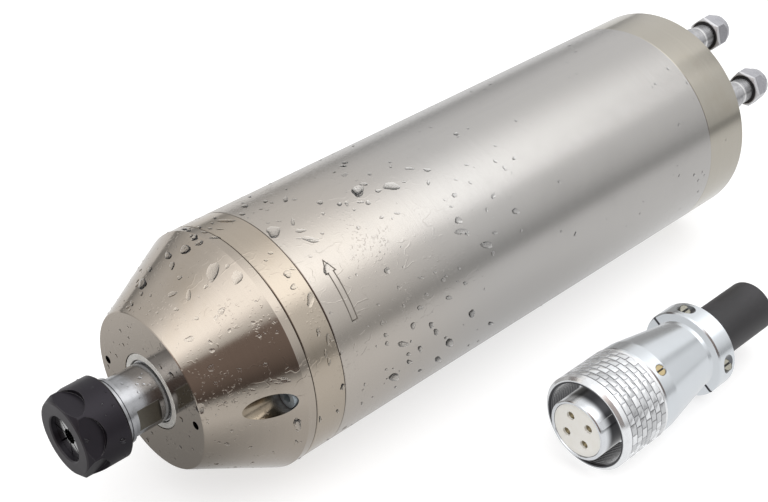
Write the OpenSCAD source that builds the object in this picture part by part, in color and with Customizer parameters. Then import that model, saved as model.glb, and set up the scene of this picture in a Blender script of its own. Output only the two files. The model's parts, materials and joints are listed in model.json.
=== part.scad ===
// Water-cooled motor spindle with a collet nose, lying beside its power plug.
// The spindle's axis is the X axis, with the nose towards -X and the origin at
// the middle of the jacket. Angles round an axis start at +Y and turn to +Z.

/* [Body] */
// Outside diameter of the body
body_d = 100; // [99:0.5:104]
// Length of the outer jacket tube
jacket_len = 225; // [215:1:245]
// Wall of the outer jacket tube
jacket_wall = 5; // [4.5:0.1:5.5]
// Chamfer on both sides of the two front seams of the body
seam_chamfer = 0.4; // [0.2:0.1:0.8]
// Chamfer on both sides of the rear seam, which hardly shows
rear_seam_chamfer = 0.15; // [0.1:0.05:0.5]

/* [Front cover and flange] */
// Axial length of the cone
cone_len = 34; // [30:1:38]
// Length of the full-diameter land behind the cone
land_len = 4; // [3:0.5:6]
// Length of the flange ring between cover and jacket
flange_len = 14; // [13:0.5:18]
// Diameter of the flat nose face
nose_face_d = 65; // [62:1:70]
// Diameter of the hub that carries the front bearings
front_hub_d = 64; // [60:1:66]
// Distance between the two spanner holes in the nose face
spanner_hole_gap = 55.4; // [52:0.2:58]
// Diameter of the spanner holes
spanner_hole_d = 3.4; // [2.5:0.1:5]
// Depth of the spanner holes
spanner_hole_depth = 6; // [4:0.5:8]
// Angle of the first spanner hole
spanner_hole_angle = 177; // [160:1:185]
// Distance of the cover screws from the outside of the body
cover_screw_edge = 6.2; // [5.8:0.1:7]
// Angle of the first cover screw
cover_screw_angle = 171; // [165:1:178]
// Diameter of the counterbores over the cover screws
cover_counterbore_d = 9.5; // [9:0.1:10]
// Cover left under the heads of the cover screws
cover_screw_floor = 3.5; // [3:0.1:3.8]

/* [Dust seal] */
// Outside diameter of the seal ring in the nose face
seal_d = 31.4; // [30:0.2:33]
// Bore of the seal ring
seal_bore_d = 26; // [25.8:0.1:27]
// Length of the seal ring
seal_len = 6; // [4:0.5:7]

/* [Rear cover] */
// Length of the rear cover
rear_cover_len = 25; // [24:0.5:32]
// Wall of the rear cover
rear_cover_wall = 6; // [5:0.5:7]
// Thickness of the rear cover's end plate
rear_plate = 7; // [6:0.5:8]
// Chamfer round the rear face
rear_chamfer = 0.8; // [0.4:0.1:2]
// Distance of the long rear screws from the jacket's bore
rear_screw_edge = 5; // [4.8:0.1:5.2]

/* [Cooling] */
// Wall of the cooling sleeve, from the jacket's bore to the stator
sleeve_wall = 8; // [7.5:0.1:8.5]
// Number of lengthwise water grooves, an even number
grooves = 14; // [10:2:16]
// Width of a water groove
groove_width = 11; // [8:0.5:12]
// Depth of a water groove
groove_depth = 4; // [3:0.1:4.2]
// Plain length left at each end of the sleeve
sleeve_land = 15; // [14:0.5:18]
// Length of the front spigot inside the jacket
front_spigot = 14.5; // [12:0.5:16]
// Length of the rear bearing housing inside the jacket
rear_spigot = 22.5; // [21:0.5:24]
// Section diameter of the sealing rings
seal_ring_section = 2; // [1.6:0.1:2.4]
// Radius of the long water passages
passage_r = 2; // [1.6:0.1:2.1]

/* [Water fittings] */
// Distance of the two fittings from the outside of the body
port_edge = 11.5; // [11:0.1:13]
// Angle midway between the two fittings
port_mid_angle = 127; // [120:1:134]
// Half the angle between the two fittings
port_half_angle = 24.2; // [22:0.2:26]
// Diameter of the fitting's plain stub
stub_d = 12.6; // [12:0.1:14]
// Length of the plain stub
stub_len = 11; // [8:0.5:14]
// Distance from the rear face to the fitting nut
fitting_nut_gap = 19.2; // [16:0.2:21]
// Width across flats of the fitting nut
fitting_nut_flats = 15; // [14.6:0.1:17]
// Length of the fitting nut
fitting_nut_len = 13; // [11:0.5:14]
// Bore of the fitting nut, where the hose goes in
hose_hole_d = 8.2; // [8.1:0.1:8.6]
// Outside diameter of the barb that the hose slips over
barb_d = 5.8; // [5:0.1:6.2]

/* [Power receptacle] */
// Distance of the receptacle from the spindle's axis
receptacle_radius = 20; // [19.5:0.1:21]
// Outside diameter of the receptacle's thread
receptacle_thread_d = 35; // [34.6:0.1:35.4]
// Length of the receptacle's barrel outside its flange
receptacle_barrel = 13; // [11:0.5:16]
// Side of the square flange
receptacle_flange = 38; // [37:0.5:39]
// Thickness of the flange
receptacle_flange_t = 3; // [2:0.5:4]
// Distance between the flange screws
receptacle_screw_gap = 30; // [29.5:0.1:30.5]
// Thickness of the gasket under the flange
gasket_t = 1; // [0.5:0.25:1.5]
// Radius of the circle of contact pins
pin_circle_r = 6.3; // [6:0.1:6.5]
// Radius of a contact pin
pin_r = 1.5; // [1.2:0.1:1.55]
// Number of contact pins
pins = 4; // [3:1:5]
// Angle of the first contact, as the plug shows it
pin_angle = 52.5; // [40:0.5:60]

/* [Bearings] */
// Bore of the front bearings
front_bearing_bore = 25; // [24.8:0.1:25.2]
// Outside diameter of the front bearings
front_bearing_od = 47; // [46:0.5:48]
// Width of a front bearing
front_bearing_width = 12; // [11:0.5:13]
// Gap between the two front bearings, filled by the spacers
front_spacer_len = 8; // [5:0.5:9]
// Balls in a front bearing
front_balls_count = 12; // [9:1:14]
// Bore of the rear bearings
rear_bearing_bore = 17; // [16.5:0.5:17.5]
// Outside diameter of the rear bearings
rear_bearing_od = 35; // [34.5:0.5:36]
// Width of a rear bearing
rear_bearing_width = 10; // [9:0.5:11]
// Balls in a rear bearing
rear_balls_count = 11; // [9:1:12]
// How far the hub reaches in front of the flange ring
front_hub_reach = 23.5; // [22:0.5:25]

/* [Motor] */
// Length of the stator core
stator_len = 120; // [100:1:125]
// Bore of the stator core
stator_bore_d = 42; // [41.5:0.1:43]
// Number of stator slots
slots = 24; // [18:6:24]
// Length of an end winding
end_winding_len = 22; // [16:1:24]
// Gap between rotor and stator
air_gap = 0.5; // [0.4:0.05:0.7]
// Number of rotor bars
rotor_bars = 18; // [12:1:22]
// Length of a rotor end ring
end_ring_len = 8; // [6:0.5:10]
// Diameter of the shaft inside the rotor core
rotor_seat_d = 24; // [23:0.5:24.5]

/* [Spindle nose] */
// Diameter of the shaft between nut and nose face
neck_d = 24; // [23.5:0.1:24.4]
// Free length of shaft between nose face and nut
neck_len = 19; // [17:0.5:24]
// Width across the wrench flats on the neck
neck_flats = 22; // [21:0.1:23]
// Length of the wrench flats
neck_flat_len = 9.5; // [7:0.5:11]
// Angle that the first wrench flat faces
neck_flat_angle = 177; // [160:1:190]
// Diameter of the thread under the nut
nose_thread_d = 25; // [24.8:0.1:25.4]
// Diameter of the two collar rings behind the nut
collar_d = 26.4; // [25.8:0.1:28]

/* [Collet and nut] */
// Bore of the collet, which is the tool's shank diameter
tool_d = 6; // [4:0.5:8]
// Largest diameter of the collet
collet_d = 21; // [20.8:0.1:21.2]
// Length of the collet
collet_len = 31.5; // [29:0.5:33]
// Slits cut from each end of the collet, an even number
collet_slits = 8; // [6:2:8]
// Width of a slit
slit_width = 0.6; // [0.4:0.05:0.7]
// Outside diameter of the nut
nut_d = 33; // [32.5:0.1:35]
// Length of the nut
nut_len = 18.4; // [17.4:0.2:21]
// Width across the nut's flats
nut_flats = 29; // [28.5:0.1:30]
// Angle that one of the nut's flats faces
nut_flat_angle = 151.5; // [140:0.5:170]
// Reach of the nut's flats from its front
nut_flat_end = 8.9; // [7:0.1:12]
// Radius of the round end of the nut's flats
nut_flat_arc = 9.3; // [8.3:0.1:12]
// How far the collet's face lies inside the nut's mouth
collet_recess = 2.4; // [1.4:0.1:2.8]

/* [Screws] */
// Thread of the cover screws
cover_screw_d = 5; // [4:0.5:5]
// Head diameter of the cover screws
cover_screw_head_d = 8.5; // [8:0.1:8.8]
// Head height of the cover screws
cover_screw_head = 5; // [4:0.5:6]
// Depth of the cover screws in the flange ring
cover_screw_bite = 8; // [6:0.5:9]
// Thread of the long screws in the flange ring and the rear cover
long_screw_d = 4; // [3:0.5:4]
// Head diameter of the long screws
long_screw_head_d = 7; // [6:0.1:7.2]
// Head height of the long screws
long_screw_head = 3.6; // [3:0.1:3.8]
// Depth of the long screws in the cooling sleeve
long_screw_bite = 8; // [6:0.5:9]
// Thread of the receptacle's flange screws
receptacle_screw_d = 3; // [2:0.5:3]

/* [Plug place] */
// Plug's front ring rim along X from the jacket's middle
plug_x = -35.4; // [-80:0.1:0]
// Plug's axis along Y from the spindle's axis
plug_y = -102.6; // [-140:0.1:-80]

/* [Plug] */
// Outside diameter of the coupling ring
ring_d = 41; // [40.6:0.1:43]
// Length of the coupling ring
ring_len = 26; // [24:0.5:28]
// Bricks round the ring in one row
ring_bricks = 28; // [20:1:32]
// Rows of bricks along the ring
ring_rows = 7; // [5:1:8]
// Width of the grooves between the bricks
brick_groove = 0.55; // [0.4:0.05:0.7]
// Depth of the grooves between the bricks
brick_depth = 0.6; // [0.4:0.05:0.7]
// Outside diameter of the plug's barrel
barrel_d = 26; // [25.8:0.1:26.2]
// How far the barrel stands out of the ring
barrel_proud = 5; // [3:0.5:7]
// Wall of the plug's barrel
barrel_wall = 1.2; // [1:0.1:1.3]
// Diameter at the front of the backshell
backshell_d = 40.4; // [39.8:0.1:40.8]
// Diameter at the rear of the backshell
backshell_end_d = 30.6; // [30:0.1:33]
// Length of the backshell
backshell_len = 36; // [34:0.5:40]
// Wall of the backshell
backshell_wall = 1.8; // [1.4:0.1:2]
// Diameter of the cable clamp
clamp_d = 38.4; // [38:0.1:39.5]
// Width of the cable clamp
clamp_len = 10; // [9:0.5:12]
// Slit between the two halves of the clamp
clamp_slit = 1.2; // [0.8:0.1:2]
// Distance between the two clamp screws
clamp_screw_gap = 27.4; // [27:0.1:28]
// Angle that the clamp and backshell screws face
plug_screw_angle = 123; // [100:1:140]
// Outside diameter of the rubber sleeve
sleeve_d = 22.8; // [22:0.1:23]
// Bore of the rubber sleeve, which is the cable's diameter
cable_d = 12; // [9:0.5:14]
// How far the sleeve stands out of the clamp
sleeve_out = 39.4; // [30:0.2:50]

/* [Fits] */
// Radial gap of parts pressed or slipped together for good
fit_gap = 0.02; // [0.01:0.01:0.04]
// Radial gap of threads and other parts that turn in each other
run_gap = 0.06; // [0.03:0.01:0.1]
// Radial play of a ball in its grooves
ball_play = 0.05; // [0.03:0.01:0.08]

/* [Hidden] */

$fn = 72;

body_r = body_d / 2;
jacket_in_r = body_r - jacket_wall;
cover_screw_radius = body_r - cover_screw_edge;
rear_screw_radius = jacket_in_r - rear_screw_edge;
screw_gap = 0.1;

// Stations along the spindle's axis
x_seam = -jacket_len / 2;
x_cover = x_seam - flange_len;
x_cone = x_cover - land_len;
x_nose = x_cone - cone_len;
x_rear_seam = jacket_len / 2;
x_rear = x_rear_seam + rear_cover_len;
x_plate = x_rear - rear_plate;

front_hub_r = front_hub_d / 2;
nose_face_r = nose_face_d / 2;

// Front bearing set
x_front_set = x_cover - front_hub_reach;
x_front_second = x_front_set + front_bearing_width + front_spacer_len;
x_front_set_end = x_front_second + front_bearing_width;
front_race_wall = 3.8;
front_ball_r = 3.5;
front_in_r = front_bearing_bore / 2;
front_out_r = front_bearing_od / 2;
front_pitch_r = (front_in_r + front_out_r) / 2;

// Shoulders that the front bearings sit against
flange_shoulder = 4;
flange_shoulder_r = front_out_r - 3;
x_flange_web = x_front_set_end + flange_shoulder;
spigot_r = jacket_in_r - fit_gap;
spigot_in_r = jacket_in_r - sleeve_wall;
x_spigot = x_seam + front_spigot;

// Cooling sleeve
x_sleeve_end = x_rear_seam - rear_spigot;
groove_x0 = x_spigot + sleeve_land;
groove_x1 = x_sleeve_end - sleeve_land;
groove_step = (360 - 2 * port_half_angle) / (grooves - 1);
groove_bottom_r = jacket_in_r - groove_depth;
first_groove_angle = port_mid_angle + port_half_angle;
groove_half_angle = asin(groove_width / 2 / groove_bottom_r);
passage_edge = 5.2;
passage_radius = jacket_in_r - passage_edge;
seal_play = 0.02;
seal_groove_w = seal_ring_section + 20 * seal_play;
seal_groove_r = spigot_r - seal_ring_section - seal_play;
seal_setback = 10;
front_seal_x = x_spigot + seal_setback;
rear_seal_x = x_sleeve_end - seal_setback - seal_groove_w;
housing_seal_x = x_rear_seam - seal_setback;

// Rear bearing set
x_rear_set = x_rear_seam - 14.5;
x_rear_second = x_rear_set + rear_bearing_width;
x_rear_set_end = x_rear_second + rear_bearing_width;
rear_race_wall = 3.1;
rear_ball_r = 2.4;
rear_in_r = rear_bearing_bore / 2;
rear_out_r = rear_bearing_od / 2;
rear_pitch_r = (rear_in_r + rear_out_r) / 2;
rear_hub_r = rear_out_r + 6.5;
spring_len = 3.5;
rear_lip_len = 3.5;
rear_web_len = 12.5;

// Motor
x_motor = (x_spigot + x_sleeve_end) / 2;
x_stator = x_motor - stator_len / 2;
x_stator_end = x_motor + stator_len / 2;
stator_r = spigot_in_r - fit_gap;
stator_bore_r = stator_bore_d / 2;
slot_mouth = 2;
slot_lip = 1.5;
stator_yoke = 4.5;
slot_depth = stator_r - stator_bore_r - slot_lip - stator_yoke;
slot_in_w = 3.2;
slot_out_w = 5;
winding_gap = 0.2;
winding_in_r = stator_bore_r + 2.5;
winding_out_r = stator_r - 2.5;
rotor_r = stator_bore_r - air_gap;
rotor_seat_r = rotor_seat_d / 2;
bar_r = 1.8;
bar_circle_r = rotor_r - 3;

// Spindle nose
x_nut_back = x_nose - neck_len;
x_nut = x_nut_back - nut_len;
x_collet = x_nut + collet_recess;
x_shaft = x_collet + 5.5;
neck_r = neck_d / 2;
thread_r = nose_thread_d / 2;
collar_r = collar_d / 2;
x_collar = x_nut_back + 0.7;
collar_len = 1.3;
collar_gap = 0.4;
x_flat = x_nut_back + 5.9;
x_slinger = x_nose + 0.6;
slinger_r = seal_bore_d / 2 - 0.3;
x_lip = x_nose + seal_len;
lip_r = seal_bore_d / 2 + 0.4;
shoulder_r = front_in_r + 2.5;
x_pocket = x_front_set - 4;
x_shaft_end = x_rear_set_end + 8;
lock_nut_len = 6;

// Collet
collet_r = collet_d / 2;
collet_face_r = collet_r - 1.6;
collet_rim_r = collet_r - 0.2;
collet_cone_len = (collet_rim_r - collet_face_r) / tan(30);
collet_rim_end = collet_cone_len + 0.6;
collet_neck_r = collet_r - 1.2;
collet_neck_end = collet_rim_end + 2;
collet_taper = 8;
collet_tail_r = collet_r - (collet_len - collet_neck_end) * tan(collet_taper);
slit_bridge = 4.5;
seat_gap = 0.1;
taper_end = x_collet + collet_len + 1.5;

// Places of the fittings and the receptacle
inlet_angle = port_mid_angle + port_half_angle;
outlet_angle = port_mid_angle - port_half_angle;
port_r = body_r - port_edge;
receptacle_angle = port_mid_angle + 180;
x_flange_back = x_rear + gasket_t;
x_barrel = x_flange_back + receptacle_flange_t;
receptacle_r = receptacle_thread_d / 2;
receptacle_in_r = barrel_d / 2 + 0.4;
neck_hole_r = receptacle_in_r + 1.6;

// Plug
ring_r = ring_d / 2;
ring_in_r = receptacle_r + 0.1;
plug_z = ring_r - body_r;
barrel_r = barrel_d / 2;
barrel_in_r = barrel_r - barrel_wall;
lip_len = 5.5;
plug_body_r = 15.5;
plug_flange_r = ring_in_r - 0.3;
flange_s = ring_len - lip_len - 0.4;
backshell_s = ring_len + 0.4;
plug_tail = 6;
backshell_seat_len = 8;
backshell_screw_s = 4.6;
backshell_screw_r = 1.5;
backshell_head_r = 2.45;
backshell_head_seat = 1.3;
backshell_screw_len = 3.9;
backshell_end_s = backshell_s + backshell_len;
backshell_r = backshell_d / 2;
backshell_end_r = backshell_end_d / 2;
clamp_r = clamp_d / 2;
clamp_end_s = backshell_end_s + clamp_len;
sleeve_r = sleeve_d / 2;
sleeve_end_s = clamp_end_s + sleeve_out;
insulator_r = barrel_in_r - fit_gap;

steel = "#b9b4aa";
dark_steel = "#8d8f92";
bright = "#d7dadd";
chrome = "#c9cdd2";
black_oxide = "#26262a";
copper = "#b56a3a";
brass = "#c9a45a";
white_plastic = "#e6e4da";
rubber = "#2b2b2e";
aluminium = "#c4c6c8";

// A piece turned about the X axis, from points of radius and station
module turned(outline) rotate([0, 90, 0]) rotate_extrude() polygon(outline);

// A plain round bar along X
module bar(x0, x1, r) translate([x0, 0, 0]) rotate([0, 90, 0]) cylinder(h = x1 - x0, r = r);

// A plain round tube along X
module tube(x0, x1, r_out, r_in)
    turned([[r_in, x0], [r_out, x0], [r_out, x1], [r_in, x1]]);

// A place at an angle and a distance from the X axis
module at_polar(angle, radius) rotate([angle, 0, 0]) translate([0, radius, 0]) children();

// A flat outline in the YZ plane, drawn out along X
module plate(x0, x1) translate([x0, 0, 0]) rotate([90, 0, 90]) linear_extrude(x1 - x0) children();

// A square with rounded corners, all in true lines and arcs
module rounded_square(side, r) {
    square([side, side - 2 * r], center = true);
    square([side - 2 * r, side], center = true);
    for (u = [-1, 1], v = [-1, 1])
        translate([u * (side / 2 - r), v * (side / 2 - r)]) circle(r);
}

// A cap screw along X with its head towards -X, from under the head
module cap_screw(x, shank_r, shank_len, head_r, head_len) {
    difference() {
        union() {
            bar(x - head_len, x, head_r);
            bar(x, x + shank_len, shank_r);
        }
        translate([x - head_len - 1, 0, 0]) rotate([0, 90, 0])
            cylinder(h = head_len / 2 + 1, r = head_r * 0.52, $fn = 6);
    }
}

// The ring of a ball bearing with its groove
module race(x, width, r_in, r_out, pitch_r, ball_r)
    rotate([0, 90, 0]) rotate_extrude() difference() {
        translate([r_in, x]) square([r_out - r_in, width]);
        translate([pitch_r, x + width / 2]) circle(ball_r + ball_play);
    }

module balls(x, width, pitch_r, ball_r, count)
    for (k = [0 : count - 1])
        at_polar(k * 360 / count, pitch_r) translate([x + width / 2, 0, 0]) sphere(ball_r);

module cage(x, width, pitch_r, ball_r, count, cage_wall)
    difference() {
        tube(x + 1.2, x + width - 1.2, pitch_r + cage_wall / 2, pitch_r - cage_wall / 2);
        for (k = [0 : count - 1])
            rotate([k * 360 / count, 0, 0])
                translate([x + width / 2, pitch_r - cage_wall, 0])
                    rotate([-90, 0, 0]) cylinder(h = 2 * cage_wall, r = ball_r + 0.12);
    }

// A sealing ring of round section lying in its groove
module seal_ring(x)
    rotate([0, 90, 0]) rotate_extrude()
        translate([spigot_r - seal_ring_section / 2 - seal_play, x + seal_groove_w / 2])
            circle(seal_ring_section / 2 - seal_play);

module seal_groove(x) tube(x, x + seal_groove_w, body_r, seal_groove_r);

module jacket()
    color(steel) turned([
        [jacket_in_r, x_seam], [body_r - seam_chamfer, x_seam], [body_r, x_seam + seam_chamfer],
        [body_r, x_rear_seam - rear_seam_chamfer], [body_r - rear_seam_chamfer, x_rear_seam],
        [jacket_in_r, x_rear_seam]
    ]);

// Screws that tie the flange, the jacket and the sleeve together
flange_screw_r = rear_screw_radius;
flange_screw_count = 6;
long_screw_r = long_screw_d / 2;
long_head_r = long_screw_head_d / 2;
long_sink_r = long_head_r + 2 * screw_gap;
long_sink = long_screw_head + 4 * screw_gap;
flange_screw_len = flange_len - long_sink + front_spigot + long_screw_bite;

module front_flange()
    color(steel) difference() {
        turned([
            [front_out_r + fit_gap, x_front_set], [front_hub_r, x_front_set],
            [front_hub_r, x_cover], [body_r - seam_chamfer, x_cover],
            [body_r, x_cover + seam_chamfer], [body_r, x_seam - seam_chamfer],
            [body_r - seam_chamfer, x_seam], [spigot_r, x_seam], [spigot_r, x_spigot],
            [spigot_in_r, x_spigot], [spigot_in_r, x_flange_web],
            [flange_shoulder_r, x_flange_web], [flange_shoulder_r, x_front_set_end],
            [front_out_r + fit_gap, x_front_set_end]
        ]);
        for (k = [0, 1])
            at_polar(cover_screw_angle + 180 * k, cover_screw_radius)
                bar(x_cover - 1, x_cover + cover_screw_bite + 2, cover_screw_d / 2 + fit_gap);
        for (k = [0 : flange_screw_count - 1])
            at_polar(cover_screw_angle + 30 + k * 60, flange_screw_r) {
                bar(x_cover - 1, x_cover + long_sink, long_sink_r);
                bar(x_cover, x_spigot + 1, long_screw_r + fit_gap);
            }
    }

module flange_screws()
    color(dark_steel) for (k = [0 : flange_screw_count - 1])
        at_polar(cover_screw_angle + 30 + k * 60, flange_screw_r)
            cap_screw(x_cover + long_sink, long_screw_r, flange_screw_len,
                      long_head_r, long_screw_head);

module front_cover()
    color(steel) difference() {
        turned([
            [seal_d / 2, x_nose], [nose_face_r - 0.3, x_nose], [nose_face_r, x_nose + 0.3],
            [body_r, x_cone], [body_r, x_cover - seam_chamfer],
            [body_r - seam_chamfer, x_cover], [front_hub_r + fit_gap, x_cover],
            [front_hub_r + fit_gap, x_front_set], [shoulder_r + 4, x_front_set],
            [shoulder_r + 4, x_pocket], [lip_r, x_pocket], [lip_r, x_lip],
            [seal_d / 2, x_lip]
        ]);
        for (k = [0, 1])
            at_polar(spanner_hole_angle + 180 * k, spanner_hole_gap / 2)
                bar(x_nose - 1, x_nose + spanner_hole_depth, spanner_hole_d / 2);
        for (k = [0, 1])
            at_polar(cover_screw_angle + 180 * k, cover_screw_radius) {
                bar(x_nose, x_cover - cover_screw_floor, cover_counterbore_d / 2);
                bar(x_nose, x_cover + 1, cover_screw_d / 2 + screw_gap);
            }
    }

module cover_screws()
    color(bright) for (k = [0, 1])
        at_polar(cover_screw_angle + 180 * k, cover_screw_radius)
            cap_screw(x_cover - cover_screw_floor, cover_screw_d / 2,
                      cover_screw_floor + cover_screw_bite, cover_screw_head_d / 2,
                      cover_screw_head);

// Light ring in the nose face: its front is a little smaller than its seat
module dust_seal()
    color(white_plastic) turned([
        [seal_bore_d / 2, x_nose], [seal_d / 2 - 0.6, x_nose], [seal_d / 2 - 0.3, x_nose + 0.3],
        [seal_d / 2 - 0.3, x_nose + 1.5], [seal_d / 2 - fit_gap, x_nose + 1.5],
        [seal_d / 2 - fit_gap, x_lip], [seal_bore_d / 2, x_lip]
    ]);

// Outline of the sleeve with water grooves; a groove and the next one run
// into each other where the two numbers differ by the turn that is given
module sleeve_outline(turn = -1) difference() {
    circle(spigot_r);
    circle(spigot_in_r);
    for (k = [0 : grooves - 1]) {
        first = first_groove_angle + k * groove_step - groove_half_angle;
        last = k % 2 == turn && k < grooves - 1
            ? first + groove_step + 2 * groove_half_angle : first + 2 * groove_half_angle;
        if (turn < 0 || k % 2 == turn || k == 0 || k == grooves - 1)
            difference() {
                polygon([
                    [0, 0], body_d * [cos(first), sin(first)],
                    body_d * [cos((first + last) / 2), sin((first + last) / 2)],
                    body_d * [cos(last), sin(last)]
                ]);
                circle(groove_bottom_r);
            }
    }
}

module cooling_sleeve()
    color(aluminium) difference() {
        union() {
            tube(x_spigot, groove_x0, spigot_r, spigot_in_r);
            plate(groove_x0, groove_x0 + groove_width) sleeve_outline(0);
            plate(groove_x0 + groove_width, groove_x1 - groove_width) sleeve_outline();
            plate(groove_x1 - groove_width, groove_x1) sleeve_outline(1);
            tube(groove_x1, x_sleeve_end, spigot_r, spigot_in_r);
        }
        seal_groove(front_seal_x);
        seal_groove(rear_seal_x);
        for (angle = [inlet_angle, outlet_angle])
            at_polar(angle, passage_radius) bar(groove_x1 - 8, x_sleeve_end + 1, passage_r);
        for (k = [0 : flange_screw_count - 1])
            at_polar(cover_screw_angle + 30 + k * 60, flange_screw_r)
                bar(x_spigot - 1, x_spigot + long_screw_bite + 1, long_screw_r + fit_gap);
        for (k = [0 : rear_screws - 1])
            at_polar(rear_screw_angle + k * 360 / rear_screws, rear_screw_radius)
                bar(x_sleeve_end - long_screw_bite - 1, x_sleeve_end + 1, long_screw_r + fit_gap);
    }

module sleeve_seals()
    color(rubber) {
        seal_ring(front_seal_x);
        seal_ring(rear_seal_x);
        seal_ring(housing_seal_x);
    }

// One slot of the stator, open to the bore
module slot_outline(inset = 0) {
    y0 = stator_bore_r + slot_lip;
    polygon([
        [y0 + inset, -slot_in_w / 2 + inset], [y0 + slot_depth - inset, -slot_out_w / 2 + inset],
        [y0 + slot_depth - inset, slot_out_w / 2 - inset], [y0 + inset, slot_in_w / 2 - inset]
    ]);
}

module stator_core()
    color(dark_steel) plate(x_stator, x_stator_end) difference() {
        circle(stator_r);
        circle(stator_bore_r);
        for (k = [0 : slots - 1]) rotate(k * 360 / slots) {
            slot_outline();
            translate([stator_bore_r - 1, -slot_mouth / 2]) square([slot_lip + 1.2, slot_mouth]);
        }
    }

// End turns with rounded shoulders, joined by the coil sides in the slots
module end_winding(x0, x1, outer_end) {
    round_r = 4;
    x_round = outer_end > 0 ? x1 - round_r : x0 + round_r;
    rotate([0, 90, 0]) rotate_extrude() {
        translate([winding_in_r, min(x_round, outer_end > 0 ? x0 : x_round)])
            square([winding_out_r - winding_in_r, x1 - x0 - round_r]);
        translate([winding_in_r + round_r, x0])
            square([winding_out_r - winding_in_r - 2 * round_r, x1 - x0]);
        for (r = [winding_in_r + round_r, winding_out_r - round_r])
            translate([r, x_round]) circle(round_r);
    }
}

module stator_windings()
    color(copper) {
        end_winding(x_stator - end_winding_len, x_stator - 1, -1);
        end_winding(x_stator_end + 1, x_stator_end + end_winding_len, 1);
        plate(x_stator - 1.5, x_stator_end + 1.5)
            for (k = [0 : slots - 1]) rotate(k * 360 / slots) slot_outline(winding_gap);
    }

lead_r = 1.1;
lead_hole_r = 4.4;
lead_bundle_r = 2;
lead_radius = (rear_hub_r + spigot_in_r) / 2;
x_pin_back = x_plate - 4.5;
x_lead_bend = x_rear_set_end + 1;

// Wires from the winding through the bearing housing, then across to the pins
module phase_leads()
    color("firebrick") rotate([receptacle_angle, 0, 0])
        for (k = [0 : pins - 1]) {
            turn = pin_angle + k * 360 / pins;
            from = [0, lead_radius + lead_bundle_r * cos(turn), lead_bundle_r * sin(turn)];
            to = [0, receptacle_radius + pin_circle_r * cos(turn), pin_circle_r * sin(turn)];
            run = to - from + [x_pin_back - 2 - x_lead_bend, 0, 0];
            translate(from) {
                bar(x_stator_end + end_winding_len, x_lead_bend + 1.2, lead_r);
                translate([x_lead_bend, 0, 0])
                    rotate([0, acos(run.z / norm(run)), atan2(run.y, run.x)])
                        cylinder(h = norm(run), r = 0.9 * lead_r);
            }
            translate(to) bar(x_pin_back - 3.2, x_pin_back, lead_r);
        }

module front_outer_races()
    color(bright) for (x = [x_front_set, x_front_second])
        race(x, front_bearing_width, front_out_r - front_race_wall, front_out_r,
             front_pitch_r, front_ball_r);

module front_outer_spacer()
    color(steel) tube(x_front_set + front_bearing_width, x_front_second,
                      front_out_r, front_out_r - front_race_wall);

module rear_bearing_housing()
    color(aluminium) difference() {
        turned([
            [rear_out_r - 2.5, x_rear_set - spring_len - rear_lip_len],
            [rear_hub_r, x_rear_set - spring_len - rear_lip_len],
            [rear_hub_r, x_rear_seam - rear_web_len], [spigot_in_r, x_rear_seam - rear_web_len],
            [spigot_in_r, x_sleeve_end], [spigot_r, x_sleeve_end], [spigot_r, x_rear_seam],
            [rear_hub_r, x_rear_seam], [rear_hub_r, x_rear_set_end],
            [rear_out_r + fit_gap, x_rear_set_end], [rear_out_r + fit_gap, x_rear_set - spring_len],
            [rear_out_r - 2.5, x_rear_set - spring_len]
        ]);
        seal_groove(housing_seal_x);
        for (angle = [inlet_angle, outlet_angle])
            at_polar(angle, passage_radius) bar(x_sleeve_end - 1, x_rear_seam + 1, passage_r);
        for (k = [0 : rear_screws - 1])
            at_polar(rear_screw_angle + k * 360 / rear_screws, rear_screw_radius)
                bar(x_sleeve_end - 1, x_rear_seam + 1, long_screw_r + fit_gap);
        at_polar(receptacle_angle, lead_radius)
            bar(x_rear_seam - rear_web_len - 1, x_rear_seam + 1, lead_hole_r);
    }

module rear_outer_races()
    color(bright) for (x = [x_rear_set, x_rear_second])
        race(x, rear_bearing_width, rear_out_r - rear_race_wall, rear_out_r,
             rear_pitch_r, rear_ball_r);

// Dished spring between the housing's shoulder and the rear bearings
module preload_spring()
    color(dark_steel) turned([
        [rear_out_r - 2.2, x_rear_set - spring_len], [rear_out_r - 1.4, x_rear_set - spring_len],
        [rear_out_r - 0.1, x_rear_set - 1], [rear_out_r - 0.1, x_rear_set],
        [rear_out_r - 0.9, x_rear_set]
    ]);

rear_screws = 4;
rear_screw_angle = port_mid_angle + 45;
port_bore_r = 3;
boss_r = 7;
fitting_thread_r = 5;
fitting_depth = rear_plate + 3;

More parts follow.
